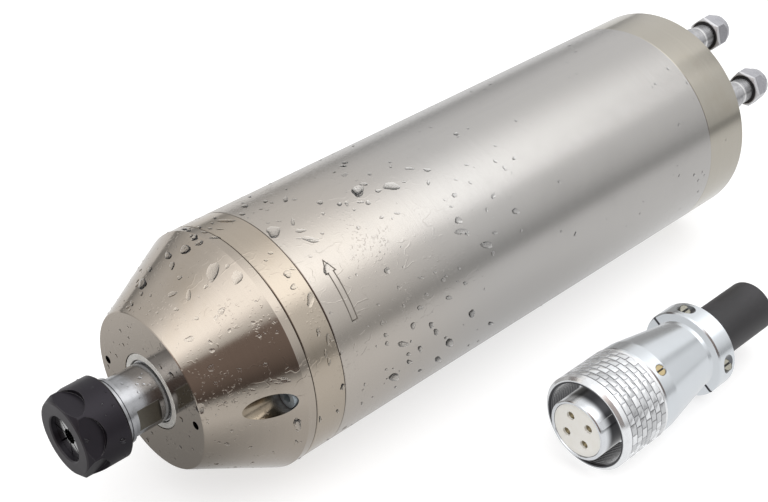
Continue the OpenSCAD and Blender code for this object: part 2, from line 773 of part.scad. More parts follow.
module rear_cover()
    color("#aaa79a") difference() {
        union() {
            turned([
                [0, x_plate], [body_r - rear_cover_wall, x_plate],
                [body_r - rear_cover_wall, x_rear_seam], [body_r - rear_seam_chamfer, x_rear_seam],
                [body_r, x_rear_seam + rear_seam_chamfer], [body_r, x_rear - rear_chamfer],
                [body_r - rear_chamfer, x_rear], [0, x_rear]
            ]);
            for (angle = [inlet_angle, outlet_angle])
                at_polar(angle, port_r) bar(x_rear_seam, x_plate + 1, boss_r);
            for (k = [0 : rear_screws - 1])
                at_polar(rear_screw_angle + k * 360 / rear_screws, rear_screw_radius)
                    bar(x_rear_seam, x_plate + 1, 5);
        }
        for (angle = [inlet_angle, outlet_angle])
            at_polar(angle, port_r) {
                bar(x_rear_seam - 1, x_rear, port_bore_r);
                bar(x_rear - fitting_depth, x_rear + 1, fitting_thread_r + fit_gap);
            }
        for (k = [0 : rear_screws - 1])
            at_polar(rear_screw_angle + k * 360 / rear_screws, rear_screw_radius) {
                bar(x_rear_seam - 1, x_rear + 1, long_screw_r + fit_gap);
                bar(x_rear - long_sink, x_rear + 1, long_sink_r);
            }
        at_polar(receptacle_angle, receptacle_radius) {
            bar(x_plate - 1, x_rear + 1, neck_hole_r + fit_gap);
            for (u = [-1, 1], v = [-1, 1])
                translate([0, u * receptacle_screw_gap / 2, v * receptacle_screw_gap / 2])
                    bar(x_rear - 5, x_rear + 1, receptacle_screw_d / 2 + fit_gap);
        }
    }

module rear_cover_screws()
    color(bright) for (k = [0 : rear_screws - 1])
        at_polar(rear_screw_angle + k * 360 / rear_screws, rear_screw_radius)
            mirror([1, 0, 0])
                cap_screw(-(x_rear - long_sink), long_screw_r,
                          x_rear - long_sink - x_sleeve_end + long_screw_bite,
                          long_head_r, long_screw_head);

module receptacle_outline() difference() {
    rounded_square(receptacle_flange, 3);
    circle(neck_hole_r - 0.1);
    for (u = [-1, 1], v = [-1, 1])
        translate([u * receptacle_screw_gap / 2, v * receptacle_screw_gap / 2])
            circle(receptacle_screw_d / 2 + fit_gap);
}

module receptacle_gasket()
    color(rubber) at_polar(receptacle_angle, receptacle_radius)
        plate(x_rear, x_flange_back) difference() {
            receptacle_outline();
            circle(neck_hole_r + fit_gap);
        }

module receptacle_shell()
    color(chrome) at_polar(receptacle_angle, receptacle_radius) {
        plate(x_flange_back, x_barrel) receptacle_outline();
        turned([
            [receptacle_in_r, x_plate - 1], [neck_hole_r, x_plate - 1], [neck_hole_r, x_barrel - 0.5],
            [receptacle_r, x_barrel - 0.5], [receptacle_r, x_barrel + receptacle_barrel - 0.8],
            [receptacle_r - 0.8, x_barrel + receptacle_barrel],
            [receptacle_in_r, x_barrel + receptacle_barrel]
        ]);
    }

module receptacle_insulator()
    color(black_oxide) at_polar(receptacle_angle, receptacle_radius) difference() {
        bar(x_plate - 2, x_barrel, receptacle_in_r - fit_gap);
        for (k = [0 : pins - 1])
            at_polar(pin_angle + k * 360 / pins, pin_circle_r)
                bar(x_plate - 3, x_barrel + 1, pin_r + fit_gap);
    }

module receptacle_pins()
    color(brass) at_polar(receptacle_angle, receptacle_radius)
        for (k = [0 : pins - 1])
            at_polar(pin_angle + k * 360 / pins, pin_circle_r) {
                bar(x_pin_back, x_barrel + receptacle_barrel - 4, pin_r);
                translate([x_barrel + receptacle_barrel - 4, 0, 0]) sphere(pin_r);
            }

module receptacle_screws()
    color(bright) at_polar(receptacle_angle, receptacle_radius)
        for (u = [-1, 1], v = [-1, 1])
            translate([0, u * receptacle_screw_gap / 2, v * receptacle_screw_gap / 2])
                difference() {
                    union() {
                        bar(x_rear - 4.5, x_barrel, receptacle_screw_d / 2);
                        bar(x_barrel, x_barrel + 2, receptacle_screw_d * 0.87);
                    }
                    translate([x_barrel + 1, -receptacle_screw_d, -0.4])
                        cube([2, 2 * receptacle_screw_d, 0.8]);
                }

fitting_washer_t = 1.2;

module fitting_washers()
    color(copper) for (angle = [inlet_angle, outlet_angle])
        at_polar(angle, port_r)
            tube(x_rear, x_rear + fitting_washer_t, stub_d / 2 + 0.9, fitting_thread_r + 0.1);

// Fitting screwed into the rear cover: stub, thread for its nut, and barb
stub_thread_r = stub_d / 2 - 0.5;
x_fitting_nut = x_rear + fitting_nut_gap;
x_fitting_end = x_fitting_nut + fitting_nut_len;
barb_r = barb_d / 2;
x_barb_end = x_fitting_end - 3;
x_stub_thread_end = x_fitting_nut + 5;

module water_fitting(angle)
    color(chrome) at_polar(angle, port_r) turned([
        [1.9, x_rear - fitting_depth + 0.5], [fitting_thread_r, x_rear - fitting_depth + 0.5],
        [fitting_thread_r, x_rear + fitting_washer_t], [stub_d / 2, x_rear + fitting_washer_t],
        [stub_d / 2, x_rear + stub_len - 0.4], [stub_thread_r, x_rear + stub_len],
        [stub_thread_r, x_stub_thread_end - 0.5], [stub_thread_r - 0.5, x_stub_thread_end],
        [barb_r - 0.5, x_stub_thread_end], [barb_r - 0.5, x_stub_thread_end + 1],
        [barb_r, x_stub_thread_end + 1.6], [barb_r - 0.5, x_barb_end], [1.9, x_barb_end]
    ]);

module inlet_fitting() water_fitting(inlet_angle);
module outlet_fitting() water_fitting(outlet_angle);

// Clamping ring round the hose, pushed by the nut
nut_cavity_r = stub_thread_r + run_gap;
hose_hole_r = hose_hole_d / 2;

module water_ferrule(angle)
    color(brass) at_polar(angle, port_r)
        tube(x_stub_thread_end + 0.5, x_fitting_end - 3.4, nut_cavity_r - 0.08, hose_hole_r + 0.1);

module inlet_ferrule() water_ferrule(inlet_angle);
module outlet_ferrule() water_ferrule(outlet_angle);

// Hexagon nut with a domed end and a hole for the hose
module water_nut(angle)
    color(chrome) at_polar(angle, port_r) difference() {
        intersection() {
            translate([x_fitting_nut, 0, 0]) rotate([0, 90, 0])
                cylinder(h = fitting_nut_len, d = fitting_nut_flats / cos(30), $fn = 6);
            turned([
                [0, x_fitting_nut], [fitting_nut_flats / 2, x_fitting_nut],
                [fitting_nut_flats / 2 + 1.4, x_fitting_nut + 0.9],
                [fitting_nut_flats / 2 + 1.4, x_fitting_nut + 0.42 * fitting_nut_len],
                [fitting_nut_flats / 2 + 0.2, x_fitting_nut + 0.6 * fitting_nut_len],
                [fitting_nut_flats / 2 - 0.6, x_fitting_nut + 0.8 * fitting_nut_len],
                [fitting_nut_flats / 2 - 2, x_fitting_end - 0.8],
                [fitting_nut_flats / 2 - 3, x_fitting_end], [0, x_fitting_end]
            ]);
        }
        turned([
            [0, x_fitting_nut - 1], [nut_cavity_r, x_fitting_nut - 1],
            [nut_cavity_r, x_fitting_end - 3.2], [hose_hole_r, x_fitting_end - 2.6],
            [hose_hole_r, x_fitting_end + 1], [0, x_fitting_end + 1]
        ]);
    }

module inlet_nut() water_nut(inlet_angle);
module outlet_nut() water_nut(outlet_angle);

// Bore of the shaft that takes the collet, at a station along the axis
function taper_r(x) = collet_r + seat_gap
    - (x - x_collet - collet_neck_end) * tan(collet_taper);

module shaft()
    color(bright) difference() {
        turned([
            [0, x_shaft], [thread_r - 0.8, x_shaft], [thread_r, x_shaft + 0.8],
            [thread_r, x_nut_back + 0.3], [neck_r, x_nut_back + 0.3], [neck_r, x_collar],
            [collar_r, x_collar], [collar_r, x_collar + collar_len],
            [neck_r + 0.4, x_collar + collar_len],
            [neck_r + 0.4, x_collar + collar_len + collar_gap],
            [collar_r, x_collar + collar_len + collar_gap],
            [collar_r, x_collar + 2 * collar_len + collar_gap],
            [neck_r, x_collar + 2 * collar_len + collar_gap], [neck_r, x_lip],
            [lip_r - 0.4, x_lip], [lip_r - 0.4, x_pocket + 0.3], [shoulder_r, x_pocket + 0.3],
            [shoulder_r, x_front_set], [front_in_r, x_front_set],
            [front_in_r, x_front_set_end + lock_nut_len + 2],
            [rotor_seat_r, x_front_set_end + lock_nut_len + 2],
            [rotor_seat_r, x_stator_end + end_ring_len + 2],
            [rear_in_r + 2, x_stator_end + end_ring_len + 2],
            [rear_in_r + 2, x_rear_set], [rear_in_r, x_rear_set],
            [rear_in_r, x_shaft_end - 1], [rear_in_r - 1, x_shaft_end], [0, x_shaft_end]
        ]);
        turned([
            [0, x_shaft - 1], [taper_r(x_shaft - 1), x_shaft - 1], [taper_r(taper_end), taper_end],
            [taper_r(taper_end) - 0.6, taper_end], [taper_r(taper_end) - 0.6, x_front_set],
            [3.2, x_front_set + 3], [3.2, x_front_set + 12], [0, x_front_set + 14]
        ]);
        for (k = [0, 180])
            rotate([neck_flat_angle + k, 0, 0])
                translate([x_flat, neck_flats / 2, -neck_r])
                    cube([neck_flat_len, neck_r, 2 * neck_r]);
    }

// Ring on the shaft that throws off dust inside the seal
module shaft_slinger()
    color(bright) turned([
        [neck_r + fit_gap, x_slinger], [slinger_r - 0.3, x_slinger], [slinger_r, x_slinger + 0.3],
        [slinger_r, x_lip - 0.6], [neck_r + fit_gap, x_lip - 0.6]
    ]);

module rotor_core()
    color(dark_steel) plate(x_stator, x_stator_end) difference() {
        circle(rotor_r);
        circle(rotor_seat_r + fit_gap);
        for (k = [0 : rotor_bars - 1])
            rotate(k * 360 / rotor_bars) translate([bar_circle_r, 0]) circle(bar_r + fit_gap);
    }

module rotor_cage()
    color(aluminium) {
        for (x = [x_stator - end_ring_len, x_stator_end])
            tube(x, x + end_ring_len, rotor_r - 0.5, rotor_seat_r + 2);
        for (k = [0 : rotor_bars - 1])
            at_polar(k * 360 / rotor_bars, bar_circle_r)
                bar(x_stator - 0.5, x_stator_end + 0.5, bar_r);
    }

module front_inner_races()
    color(bright) for (x = [x_front_set, x_front_second])
        race(x, front_bearing_width, front_in_r + fit_gap, front_in_r + front_race_wall,
             front_pitch_r, front_ball_r);

module front_inner_spacer()
    color(steel) tube(x_front_set + front_bearing_width, x_front_second,
                      front_in_r + front_race_wall, front_in_r + fit_gap);

module lock_nut(x, r_in, r_out)
    color(dark_steel) difference() {
        tube(x, x + lock_nut_len, r_out, r_in + fit_gap);
        for (k = [0 : 3])
            rotate([k * 90, 0, 0])
                translate([x - 1, r_out - 1.5, -1.5]) cube([lock_nut_len + 2, 3, 3]);
    }

module front_lock_nut() lock_nut(x_front_set_end, front_in_r, front_in_r + 4.5);

module rear_inner_races()
    color(bright) for (x = [x_rear_set, x_rear_second])
        race(x, rear_bearing_width, rear_in_r + fit_gap, rear_in_r + rear_race_wall,
             rear_pitch_r, rear_ball_r);

module rear_lock_nut() lock_nut(x_rear_set_end, rear_in_r, rear_in_r + 3);

module front_balls()
    color("white") for (x = [x_front_set, x_front_second])
        balls(x, front_bearing_width, front_pitch_r, front_ball_r, front_balls_count);

module front_cages()
    color(brass) for (x = [x_front_set, x_front_second])
        cage(x, front_bearing_width, front_pitch_r, front_ball_r, front_balls_count, 1.6);

module rear_balls()
    color("white") for (x = [x_rear_set, x_rear_second])
        balls(x, rear_bearing_width, rear_pitch_r, rear_ball_r, rear_balls_count);

module rear_cages()
    color(brass) for (x = [x_rear_set, x_rear_second])
        cage(x, rear_bearing_width, rear_pitch_r, rear_ball_r, rear_balls_count, 1.2);

// Spring collet, slit in turn from its face and from its tail
module collet()
    color(dark_steel) translate([x_collet, 0, 0]) difference() {
        turned([
            [tool_d / 2, 0], [collet_face_r, 0], [collet_rim_r, collet_cone_len],
            [collet_rim_r, collet_rim_end], [collet_neck_r, collet_rim_end],
            [collet_neck_r, collet_neck_end], [collet_r, collet_neck_end],
            [collet_tail_r, collet_len], [tool_d / 2, collet_len]
        ]);
        for (k = [0 : collet_slits / 2 - 1]) {
            rotate([k * 360 / collet_slits, 0, 0])
                translate([-1, -collet_r - 1, -slit_width / 2])
                    cube([collet_len - slit_bridge + 1, 2 * collet_r + 2, slit_width]);
            rotate([(k + 0.5) * 360 / collet_slits, 0, 0])
                translate([slit_bridge, -collet_r - 1, -slit_width / 2])
                    cube([collet_len - slit_bridge + 1, 2 * collet_r + 2, slit_width]);
        }
    }

// Milled flat of the nut with a round end towards the back
nut_r = nut_d / 2;
flat_half_w = sqrt(nut_r * nut_r - nut_flats * nut_flats / 4) + 0.3;

module nut_flat(angle)
    rotate([angle, 0, 0]) translate([0, nut_flats / 2, 0]) {
        translate([-1, 0, -flat_half_w])
            cube([max(0, nut_flat_end - nut_flat_arc) + 1.2, nut_r, 2 * flat_half_w]);
        translate([nut_flat_end - nut_flat_arc, 0, 0]) rotate([-90, 0, 0])
            cylinder(h = nut_r, r = nut_flat_arc);
    }

// Inside of the nut: mouth, 30 degree cone, ejector lip and thread
cone_step = seat_gap / cos(30);
mouth_r = collet_face_r + cone_step;
lip_x = collet_recess + collet_rim_end + 0.4;
lip_end_x = collet_recess + collet_neck_end - 0.4;
eject_r = collet_neck_r + 0.4;

module collet_nut()
    color(black_oxide) translate([x_nut, 0, 0]) difference() {
        turned([
            [0, 0], [nut_flats / 2 - 0.3, 0], [nut_r, 2], [nut_r, nut_len - 0.8],
            [nut_r - 0.8, nut_len], [0, nut_len]
        ]);
        turned([
            [0, -1], [mouth_r + 1.5, -1], [mouth_r, 0.5], [mouth_r, collet_recess],
            [collet_rim_r + cone_step, collet_recess + collet_cone_len],
            [collet_rim_r + cone_step, lip_x], [eject_r, lip_x], [eject_r, lip_end_x],
            [thread_r + run_gap + 0.4, lip_end_x + 0.4],
            [thread_r + run_gap + 0.4, lip_end_x + 1.4], [thread_r + run_gap, lip_end_x + 1.8],
            [thread_r + run_gap, nut_len - 0.6], [thread_r + 0.8, nut_len + 1], [0, nut_len + 1]
        ]);
        for (k = [0 : 5]) nut_flat(nut_flat_angle + k * 60);
    }

// Everything of the plug stands at the plug's own place beside the spindle
module at_plug() translate([plug_x, plug_y, plug_z]) children();

key_angle = 141;
key_width = 3;

// Barrel of the plug with its key
module plug_shell()
    color(chrome) at_plug() {
        turned([
            [barrel_in_r, -barrel_proud], [barrel_r - 0.4, -barrel_proud],
            [barrel_r, 0.4 - barrel_proud], [barrel_r, backshell_s + plug_tail],
            [barrel_in_r, backshell_s + plug_tail]
        ]);
        rotate([key_angle, 0, 0])
            translate([1 - barrel_proud, barrel_r - 0.3, -key_width / 2])
                cube([flange_s - 7, 1.2, key_width]);
    }

// Sleeve on the barrel with the flange that holds the coupling ring
module plug_body()
    color(chrome) at_plug() turned([
        [barrel_r + fit_gap, flange_s - 6], [plug_body_r - 1, flange_s - 6],
        [plug_body_r, flange_s - 5], [plug_body_r, flange_s - 2.5],
        [plug_flange_r, flange_s - 2.5], [plug_flange_r, flange_s], [plug_body_r, flange_s],
        [plug_body_r, backshell_s + plug_tail], [barrel_r + fit_gap, backshell_s + plug_tail]
    ]);

module contact_places()
    for (k = [0 : pins - 1]) at_polar(pin_angle + k * 360 / pins, pin_circle_r) children();

module plug_insulator()
    color(white_plastic) at_plug() difference() {
        bar(0.5 - barrel_proud, flange_s, insulator_r);
        contact_places() bar(-barrel_proud, flange_s + 1, pin_r + 0.35);
    }

module plug_sockets()
    color(brass) at_plug() contact_places()
        tube(1.5 - barrel_proud, flange_s + 6, pin_r + 0.35 - fit_gap, pin_r + 0.05);

// Coupling ring: staggered bricks between milled grooves
brick_x0 = 3.6;
brick_x1 = ring_len - 1.6;
brick_pitch = (brick_x1 - brick_x0) / ring_rows;

module brick_row(turn_part)
    difference() {
        circle(ring_r);
        for (i = [0 : ring_bricks - 1])
            rotate((i + turn_part) * 360 / ring_bricks)
                translate([ring_r - brick_depth, -brick_groove / 2])
                    square([2 * brick_depth, brick_groove]);
    }

module coupling_ring()
    color(chrome) at_plug() difference() {
        union() {
            turned([
                [0, 0], [ring_r - 1.2, 0], [ring_r, 1.2], [ring_r, brick_x0],
                [ring_r - brick_depth, brick_x0], [ring_r - brick_depth, brick_x1],
                [ring_r, brick_x1], [ring_r, ring_len - 0.4], [ring_r - 0.4, ring_len],
                [0, ring_len]
            ]);
            for (row = [0 : ring_rows - 1])
                plate(brick_x0 + row * brick_pitch + brick_groove,
                      brick_x0 + (row + 1) * brick_pitch)
                    brick_row(row % 2 == 0 ? 0 : 0.5);
        }
        turned([
            [0, -1], [ring_in_r + 1, -1], [ring_in_r, 0.8], [ring_in_r, ring_len - lip_len],
            [plug_body_r + run_gap, ring_len - lip_len], [plug_body_r + run_gap, ring_len + 1],
            [0, ring_len + 1]
        ]);
    }

module backshell()
    color(chrome) at_plug() difference() {
        turned([
            [plug_body_r + fit_gap, backshell_s], [backshell_r - 0.5, backshell_s],
            [backshell_r, backshell_s + 0.5], [backshell_r - 0.3, backshell_s + 7],
            [backshell_end_r, backshell_end_s - 2], [backshell_end_r, backshell_end_s],
            [backshell_end_r - backshell_wall, backshell_end_s],
            [backshell_end_r - backshell_wall, backshell_end_s - 2],
            [plug_body_r + 1, backshell_s + backshell_seat_len],
            [plug_body_r + fit_gap, backshell_s + backshell_seat_len]
        ]);
        for (k = [0 : 2])
            rotate([plug_screw_angle + k * 120, 0, 0])
                translate([backshell_s + backshell_screw_s, plug_body_r - 1, 0])
                    rotate([-90, 0, 0]) {
                        cylinder(h = backshell_r, r = backshell_screw_r + fit_gap);
                        translate([0, 0, backshell_head_seat + 0.9])
                            cylinder(h = backshell_r, r = backshell_head_r + 0.15);
                    }
    }

module backshell_screws()
    color(brass) at_plug() for (k = [0 : 2])
        rotate([plug_screw_angle + k * 120, 0, 0])
            translate([backshell_s + backshell_screw_s, plug_body_r + fit_gap, 0])
                rotate([-90, 0, 0]) difference() {
                    union() {
                        cylinder(h = backshell_screw_len - 1.5, r = backshell_screw_r);
                        translate([0, 0, backshell_head_seat])
                            cylinder(h = backshell_screw_len - backshell_head_seat,
                                     r = backshell_head_r);
                    }
                    translate([-backshell_head_r - 1, -0.35, backshell_screw_len - 0.8])
                        cube([2 * backshell_head_r + 2, 0.7, 2]);
                }

// Two clamp halves round the rubber sleeve, drawn together by two screws
clamp_screw_r = 1.5;
clamp_head_r = 2.6;
clamp_seat = 10;
clamp_mid_s = (backshell_end_s + clamp_end_s) / 2;

module cable_clamp()
    color(chrome) at_plug() rotate([plug_screw_angle, 0, 0]) difference() {
        turned([
            [sleeve_r + fit_gap, backshell_end_s], [clamp_r - 0.6, backshell_end_s],
            [clamp_r, backshell_end_s + 0.6], [clamp_r, clamp_end_s - 0.6],
            [clamp_r - 0.6, clamp_end_s], [sleeve_r + fit_gap, clamp_end_s]
        ]);
        translate([backshell_end_s - 1, -clamp_slit / 2, -clamp_r - 1])
            cube([clamp_len + 2, clamp_slit, 2 * clamp_r + 2]);
        for (v = [-1, 1])
            translate([clamp_mid_s, 0, v * clamp_screw_gap / 2]) rotate([-90, 0, 0]) {
                translate([0, 0, -clamp_r]) cylinder(h = 2 * clamp_r, r = clamp_screw_r + fit_gap);
                translate([0, 0, clamp_seat]) cylinder(h = clamp_r, r = clamp_head_r + 0.3);
            }
    }

module clamp_screws()
    color(bright) at_plug() rotate([plug_screw_angle, 0, 0])
        for (v = [-1, 1])
            translate([clamp_mid_s, 0, v * clamp_screw_gap / 2]) rotate([-90, 0, 0])
                difference() {
                    union() {
                        translate([0, 0, -clamp_seat]) cylinder(h = 2 * clamp_seat, r = clamp_screw_r);
                        translate([0, 0, clamp_seat]) cylinder(h = 2.2, r = clamp_head_r);
                    }
                    translate([-3, -0.4, clamp_seat + 1.2]) cube([6, 0.8, 2]);
                }

module rubber_sleeve()
    color(rubber) at_plug() turned([
        [cable_d / 2, backshell_end_s - 8], [sleeve_r + 1.4, backshell_end_s - 8],
        [sleeve_r + 1.4, backshell_end_s - 3], [sleeve_r, backshell_end_s - 3],
        [sleeve_r, sleeve_end_s - 1.5], [sleeve_r - 1.5, sleeve_end_s],
        [cable_d / 2, sleeve_end_s]
    ]);

jacket();
front_flange();
front_cover();
cover_screws();
flange_screws();
dust_seal();
cooling_sleeve();
sleeve_seals();
stator_core();
stator_windings();
phase_leads();
front_outer_races();
front_outer_spacer();
rear_bearing_housing();
rear_outer_races();
preload_spring();
rear_cover();
rear_cover_screws();
receptacle_gasket();
receptacle_shell();
receptacle_insulator();
receptacle_pins();
receptacle_screws();
fitting_washers();
inlet_fitting();
outlet_fitting();
shaft();
shaft_slinger();
rotor_core();
rotor_cage();
front_inner_races();
front_inner_spacer();
front_lock_nut();
rear_inner_races();
rear_lock_nut();
front_balls();
front_cages();
rear_balls();
rear_cages();
collet();
collet_nut();
inlet_ferrule();
inlet_nut();
outlet_ferrule();
outlet_nut();
plug_shell();
plug_body();
plug_insulator();
plug_sockets();
backshell();
backshell_screws();
cable_clamp();
clamp_screws();
rubber_sleeve();
coupling_ring();
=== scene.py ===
import json
import math
import random

import bmesh
import bpy
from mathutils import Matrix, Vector


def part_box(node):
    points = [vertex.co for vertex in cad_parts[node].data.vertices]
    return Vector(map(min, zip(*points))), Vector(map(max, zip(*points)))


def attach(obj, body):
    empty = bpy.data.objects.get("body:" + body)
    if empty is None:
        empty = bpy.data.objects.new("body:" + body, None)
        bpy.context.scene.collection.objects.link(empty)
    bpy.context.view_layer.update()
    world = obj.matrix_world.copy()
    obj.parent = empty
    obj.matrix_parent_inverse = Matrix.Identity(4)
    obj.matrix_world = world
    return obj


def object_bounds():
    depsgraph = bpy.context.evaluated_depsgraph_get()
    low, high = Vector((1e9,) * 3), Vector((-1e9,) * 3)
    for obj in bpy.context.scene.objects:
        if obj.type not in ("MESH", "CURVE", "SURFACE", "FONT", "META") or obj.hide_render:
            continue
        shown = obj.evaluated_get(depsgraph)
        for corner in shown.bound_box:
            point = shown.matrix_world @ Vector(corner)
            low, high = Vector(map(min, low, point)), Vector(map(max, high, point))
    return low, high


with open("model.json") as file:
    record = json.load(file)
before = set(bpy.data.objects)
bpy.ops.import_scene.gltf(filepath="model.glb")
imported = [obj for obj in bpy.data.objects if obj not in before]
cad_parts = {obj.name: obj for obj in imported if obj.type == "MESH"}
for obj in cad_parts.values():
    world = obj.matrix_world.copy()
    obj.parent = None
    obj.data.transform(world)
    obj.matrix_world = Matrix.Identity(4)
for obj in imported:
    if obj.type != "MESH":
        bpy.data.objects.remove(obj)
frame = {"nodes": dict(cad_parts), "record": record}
nodes = frame["nodes"]
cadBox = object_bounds()
print("frame: loaded", len(nodes), "nodes")

mm = 0.001
scene = bpy.context.scene


# shader maths: a value is one output socket, and arithmetic on it adds Math nodes
class Value:
    def __init__(self, look, socket):
        self.look = look
        self.socket = socket

    def port(self, name):
        return Value(self.look, self.socket.node.outputs[name])

    def math(self, operation, *others, swap=False):
        values = [self, *others]
        if swap:
            values.reverse()
        return self.look.node(
            "ShaderNodeMath", {"operation": operation}, dict(enumerate(values)))

    def __add__(self, other):
        return self.math("ADD", other)

    def __radd__(self, other):
        return self.math("ADD", other, swap=True)

    def __sub__(self, other):
        return self.math("SUBTRACT", other)

    def __rsub__(self, other):
        return self.math("SUBTRACT", other, swap=True)

    def __mul__(self, other):
        return self.math("MULTIPLY", other)

    def __rmul__(self, other):
        return self.math("MULTIPLY", other, swap=True)

    def __truediv__(self, other):
        return self.math("DIVIDE", other)

    def __rtruediv__(self, other):
        return self.math("DIVIDE", other, swap=True)

    def __abs__(self):
        return self.math("ABSOLUTE")

    def fade(self, low, high):
        # 0 below low, 1 above high, smooth between; low may be the larger
        return self.look.node(
            "ShaderNodeMapRange", {"interpolation_type": "SMOOTHSTEP"},
            {"Value": self, "From Min": low, "From Max": high})


# a material, or the world, with the one method that adds a node to it
class Look:
    def __init__(self, name, tree=None):
        if tree is None:
            self.material = bpy.data.materials.new(name)
            self.material.use_nodes = True
            tree = self.material.node_tree
        self.tree = tree

    def node(self, kind, settings=None, inputs=None, output=0):
        added = self.tree.nodes.new(kind)
        for key, value in (settings or {}).items():
            if key == "stops":
                self.setStops(added.color_ramp, value)
            else:
                setattr(added, key, value)
        for key, value in (inputs or {}).items():
            self.feed(added.inputs[key], value)
        return Value(self, added.outputs[output])

    def setStops(self, ramp, stops):
        while len(ramp.elements) < len(stops):
            ramp.elements.new(0.5)
        for element, (place, colour) in zip(ramp.elements, stops):
            element.position = place
            element.color = (*colour, 1)

    def feed(self, socket, value):
        if isinstance(value, Value):
            self.tree.links.new(value.socket, socket)
        elif socket.type == "RGBA" and len(value) == 3:
            socket.default_value = (*value, 1)
        else:
            socket.default_value = value

    def surface(self, values):
        shader = self.tree.nodes["Principled BSDF"]
        for key, value in values.items():
            self.feed(shader.inputs[key], value)
        return self.material

    def axes(self, kind):
        coordinates = self.node("ShaderNodeTexCoord", output=kind)
        split = self.node("ShaderNodeSeparateXYZ", inputs={0: coordinates})
        return [split.port(name) for name in "XYZ"]

    def place(self, centre=(0, 0, 0)):
        # the piece's own place in metres, from a centre
        return [axis - offset for axis, offset in zip(self.axes("Object"), centre)]

    def noise(self, x, y, z, scale=1.0, detail=2.0, rough=0.5):
        vector = self.node("ShaderNodeCombineXYZ", inputs={0: x, 1: y, 2: z})
        return self.node("ShaderNodeTexNoise", inputs={
            "Vector": vector, "Scale": scale, "Detail": detail, "Roughness": rough})

    def mix(self, factor, first, second):
        return self.node("ShaderNodeMix", {"data_type": "RGBA"},
                         {0: factor, 6: first, 7: second}, output=2)

    def bump(self, height, distance, strength, normal=None):
        inputs = {"Height": height, "Distance": distance, "Strength": strength}
        if normal is not None:
            inputs["Normal"] = normal
        return self.node("ShaderNodeBump", inputs=inputs)


# values made of values
def hypot(a, b):
    return (a * a + b * b).math("SQRT")


def either(a, b):
    return a.math("MAXIMUM", b)


def angleOf(y, z):
    # in radians round the X axis, from +Y towards the top
    return z.math("ARCTAN2", y)


def towards(y, z, degrees):
    # how far out a place lies in the direction at that angle round the X axis
    turn = math.radians(degrees)
    return y * math.cos(turn) + z * math.sin(turn)


def slant(y, z):
    return y * 0.8 + z * 0.6


def under(value, limit, soft):
    # 1 where the value is under the limit, 0 over it, with a soft edge
    return (limit - value).fade(-soft, soft)


def waves(value, pitch):
    return (value * (2 * math.pi / pitch)).math("SINE")


# colours
def grey(level):
    return (level, level, level)


def scaled(colour, factor):
    return tuple(c * factor for c in colour)


def tinted(colour, factors):
    return tuple(c * factor for c, factor in zip(colour, factors))


# camera and studio
view = {
    "place": (-0.37232, -0.34503, 0.34241),
    "direction": (0.56069, 0.59267, -0.57824),
    "lens": 65.957,
    "sensor": 36,
}

camera = bpy.data.objects.new("Camera", bpy.data.cameras.new("Camera"))
scene.collection.objects.link(camera)
camera.data.sensor_width = view["sensor"]
camera.data.lens = view["lens"]
camera.data.clip_start = 0.01
camera.location = view["place"]
camera.rotation_mode = "QUATERNION"
camera.rotation_quaternion = Vector(view["direction"]).to_track_quat("-Z", "Y")
scene.camera = camera

paper = {
    "half": 4, "gap": 0.0002,
    "grey": 0.42, "glow": 0.5,
    "seen": 0.12,              # it is this much lighter as the eye sees it directly
    "mirrored": 0.9,           # its light in the metal's mirror images
    "pool": (0.3, 1.1),        # that light falls off between these distances
    "poolSide": (0.05, -0.25),
    "poolEdge": 0.4,
    "foot": (-0.165, 0.138),   # stations between which the body shades it
    "footReach": 0.16,
    "footShade": 0.27,
    "footEnd": (0.14, 0.03),
    "noseShade": 0.68,
    "noseEnd": (-0.13, -0.17),
}


def makeFloor():
    mesh = bpy.data.meshes.new("Floor")
    form = bmesh.new()
    bmesh.ops.create_grid(form, x_segments=1, y_segments=1, size=paper["half"])
    form.to_mesh(mesh)
    form.free()
    floor = bpy.data.objects.new("Floor", mesh)
    scene.collection.objects.link(floor)
    floor.location = (0, 0, cadBox[0].z - paper["gap"])
    look = Look("FloorPaper")
    x, y, z = look.place()
    cloud = look.noise(x, y, z, scale=3)
    direct = look.node("ShaderNodeLightPath", output="Is Camera Ray")
    pool = hypot(x, y).fade(*paper["pool"]) * y.fade(*paper["poolSide"])

    # soft shadow at the spindle's foot, deepest at the nose
    front, back = paper["foot"]
    beyond = (abs(x - (front + back) / 2) - (back - front) / 2).math("MAXIMUM", 0)
    shade = x.fade(*paper["noseEnd"]) * (paper["noseShade"] - paper["footShade"])
    shade = shade + paper["footShade"] * x.fade(*paper["footEnd"])
    foot = hypot(beyond, y).fade(paper["footReach"], 0) * shade
    mirrored = (1 - pool * (1 - paper["poolEdge"])) * (1 - foot) * (1 - direct)

    light = grey(paper["grey"] + paper["seen"])
    tone = look.mix(cloud, light, scaled(light, 0.985))
    seen = look.mix(direct, grey(0), grey(paper["glow"] + paper["seen"]))
    mesh.materials.append(look.surface({
        "Base Color": look.mix(direct, grey(0), tone),
        "Roughness": 0.9, "Specular IOR Level": 0.1,
        "Emission Color": look.mix(mirrored, seen, grey(paper["mirrored"])),
        "Emission Strength": 1.0,
    }))


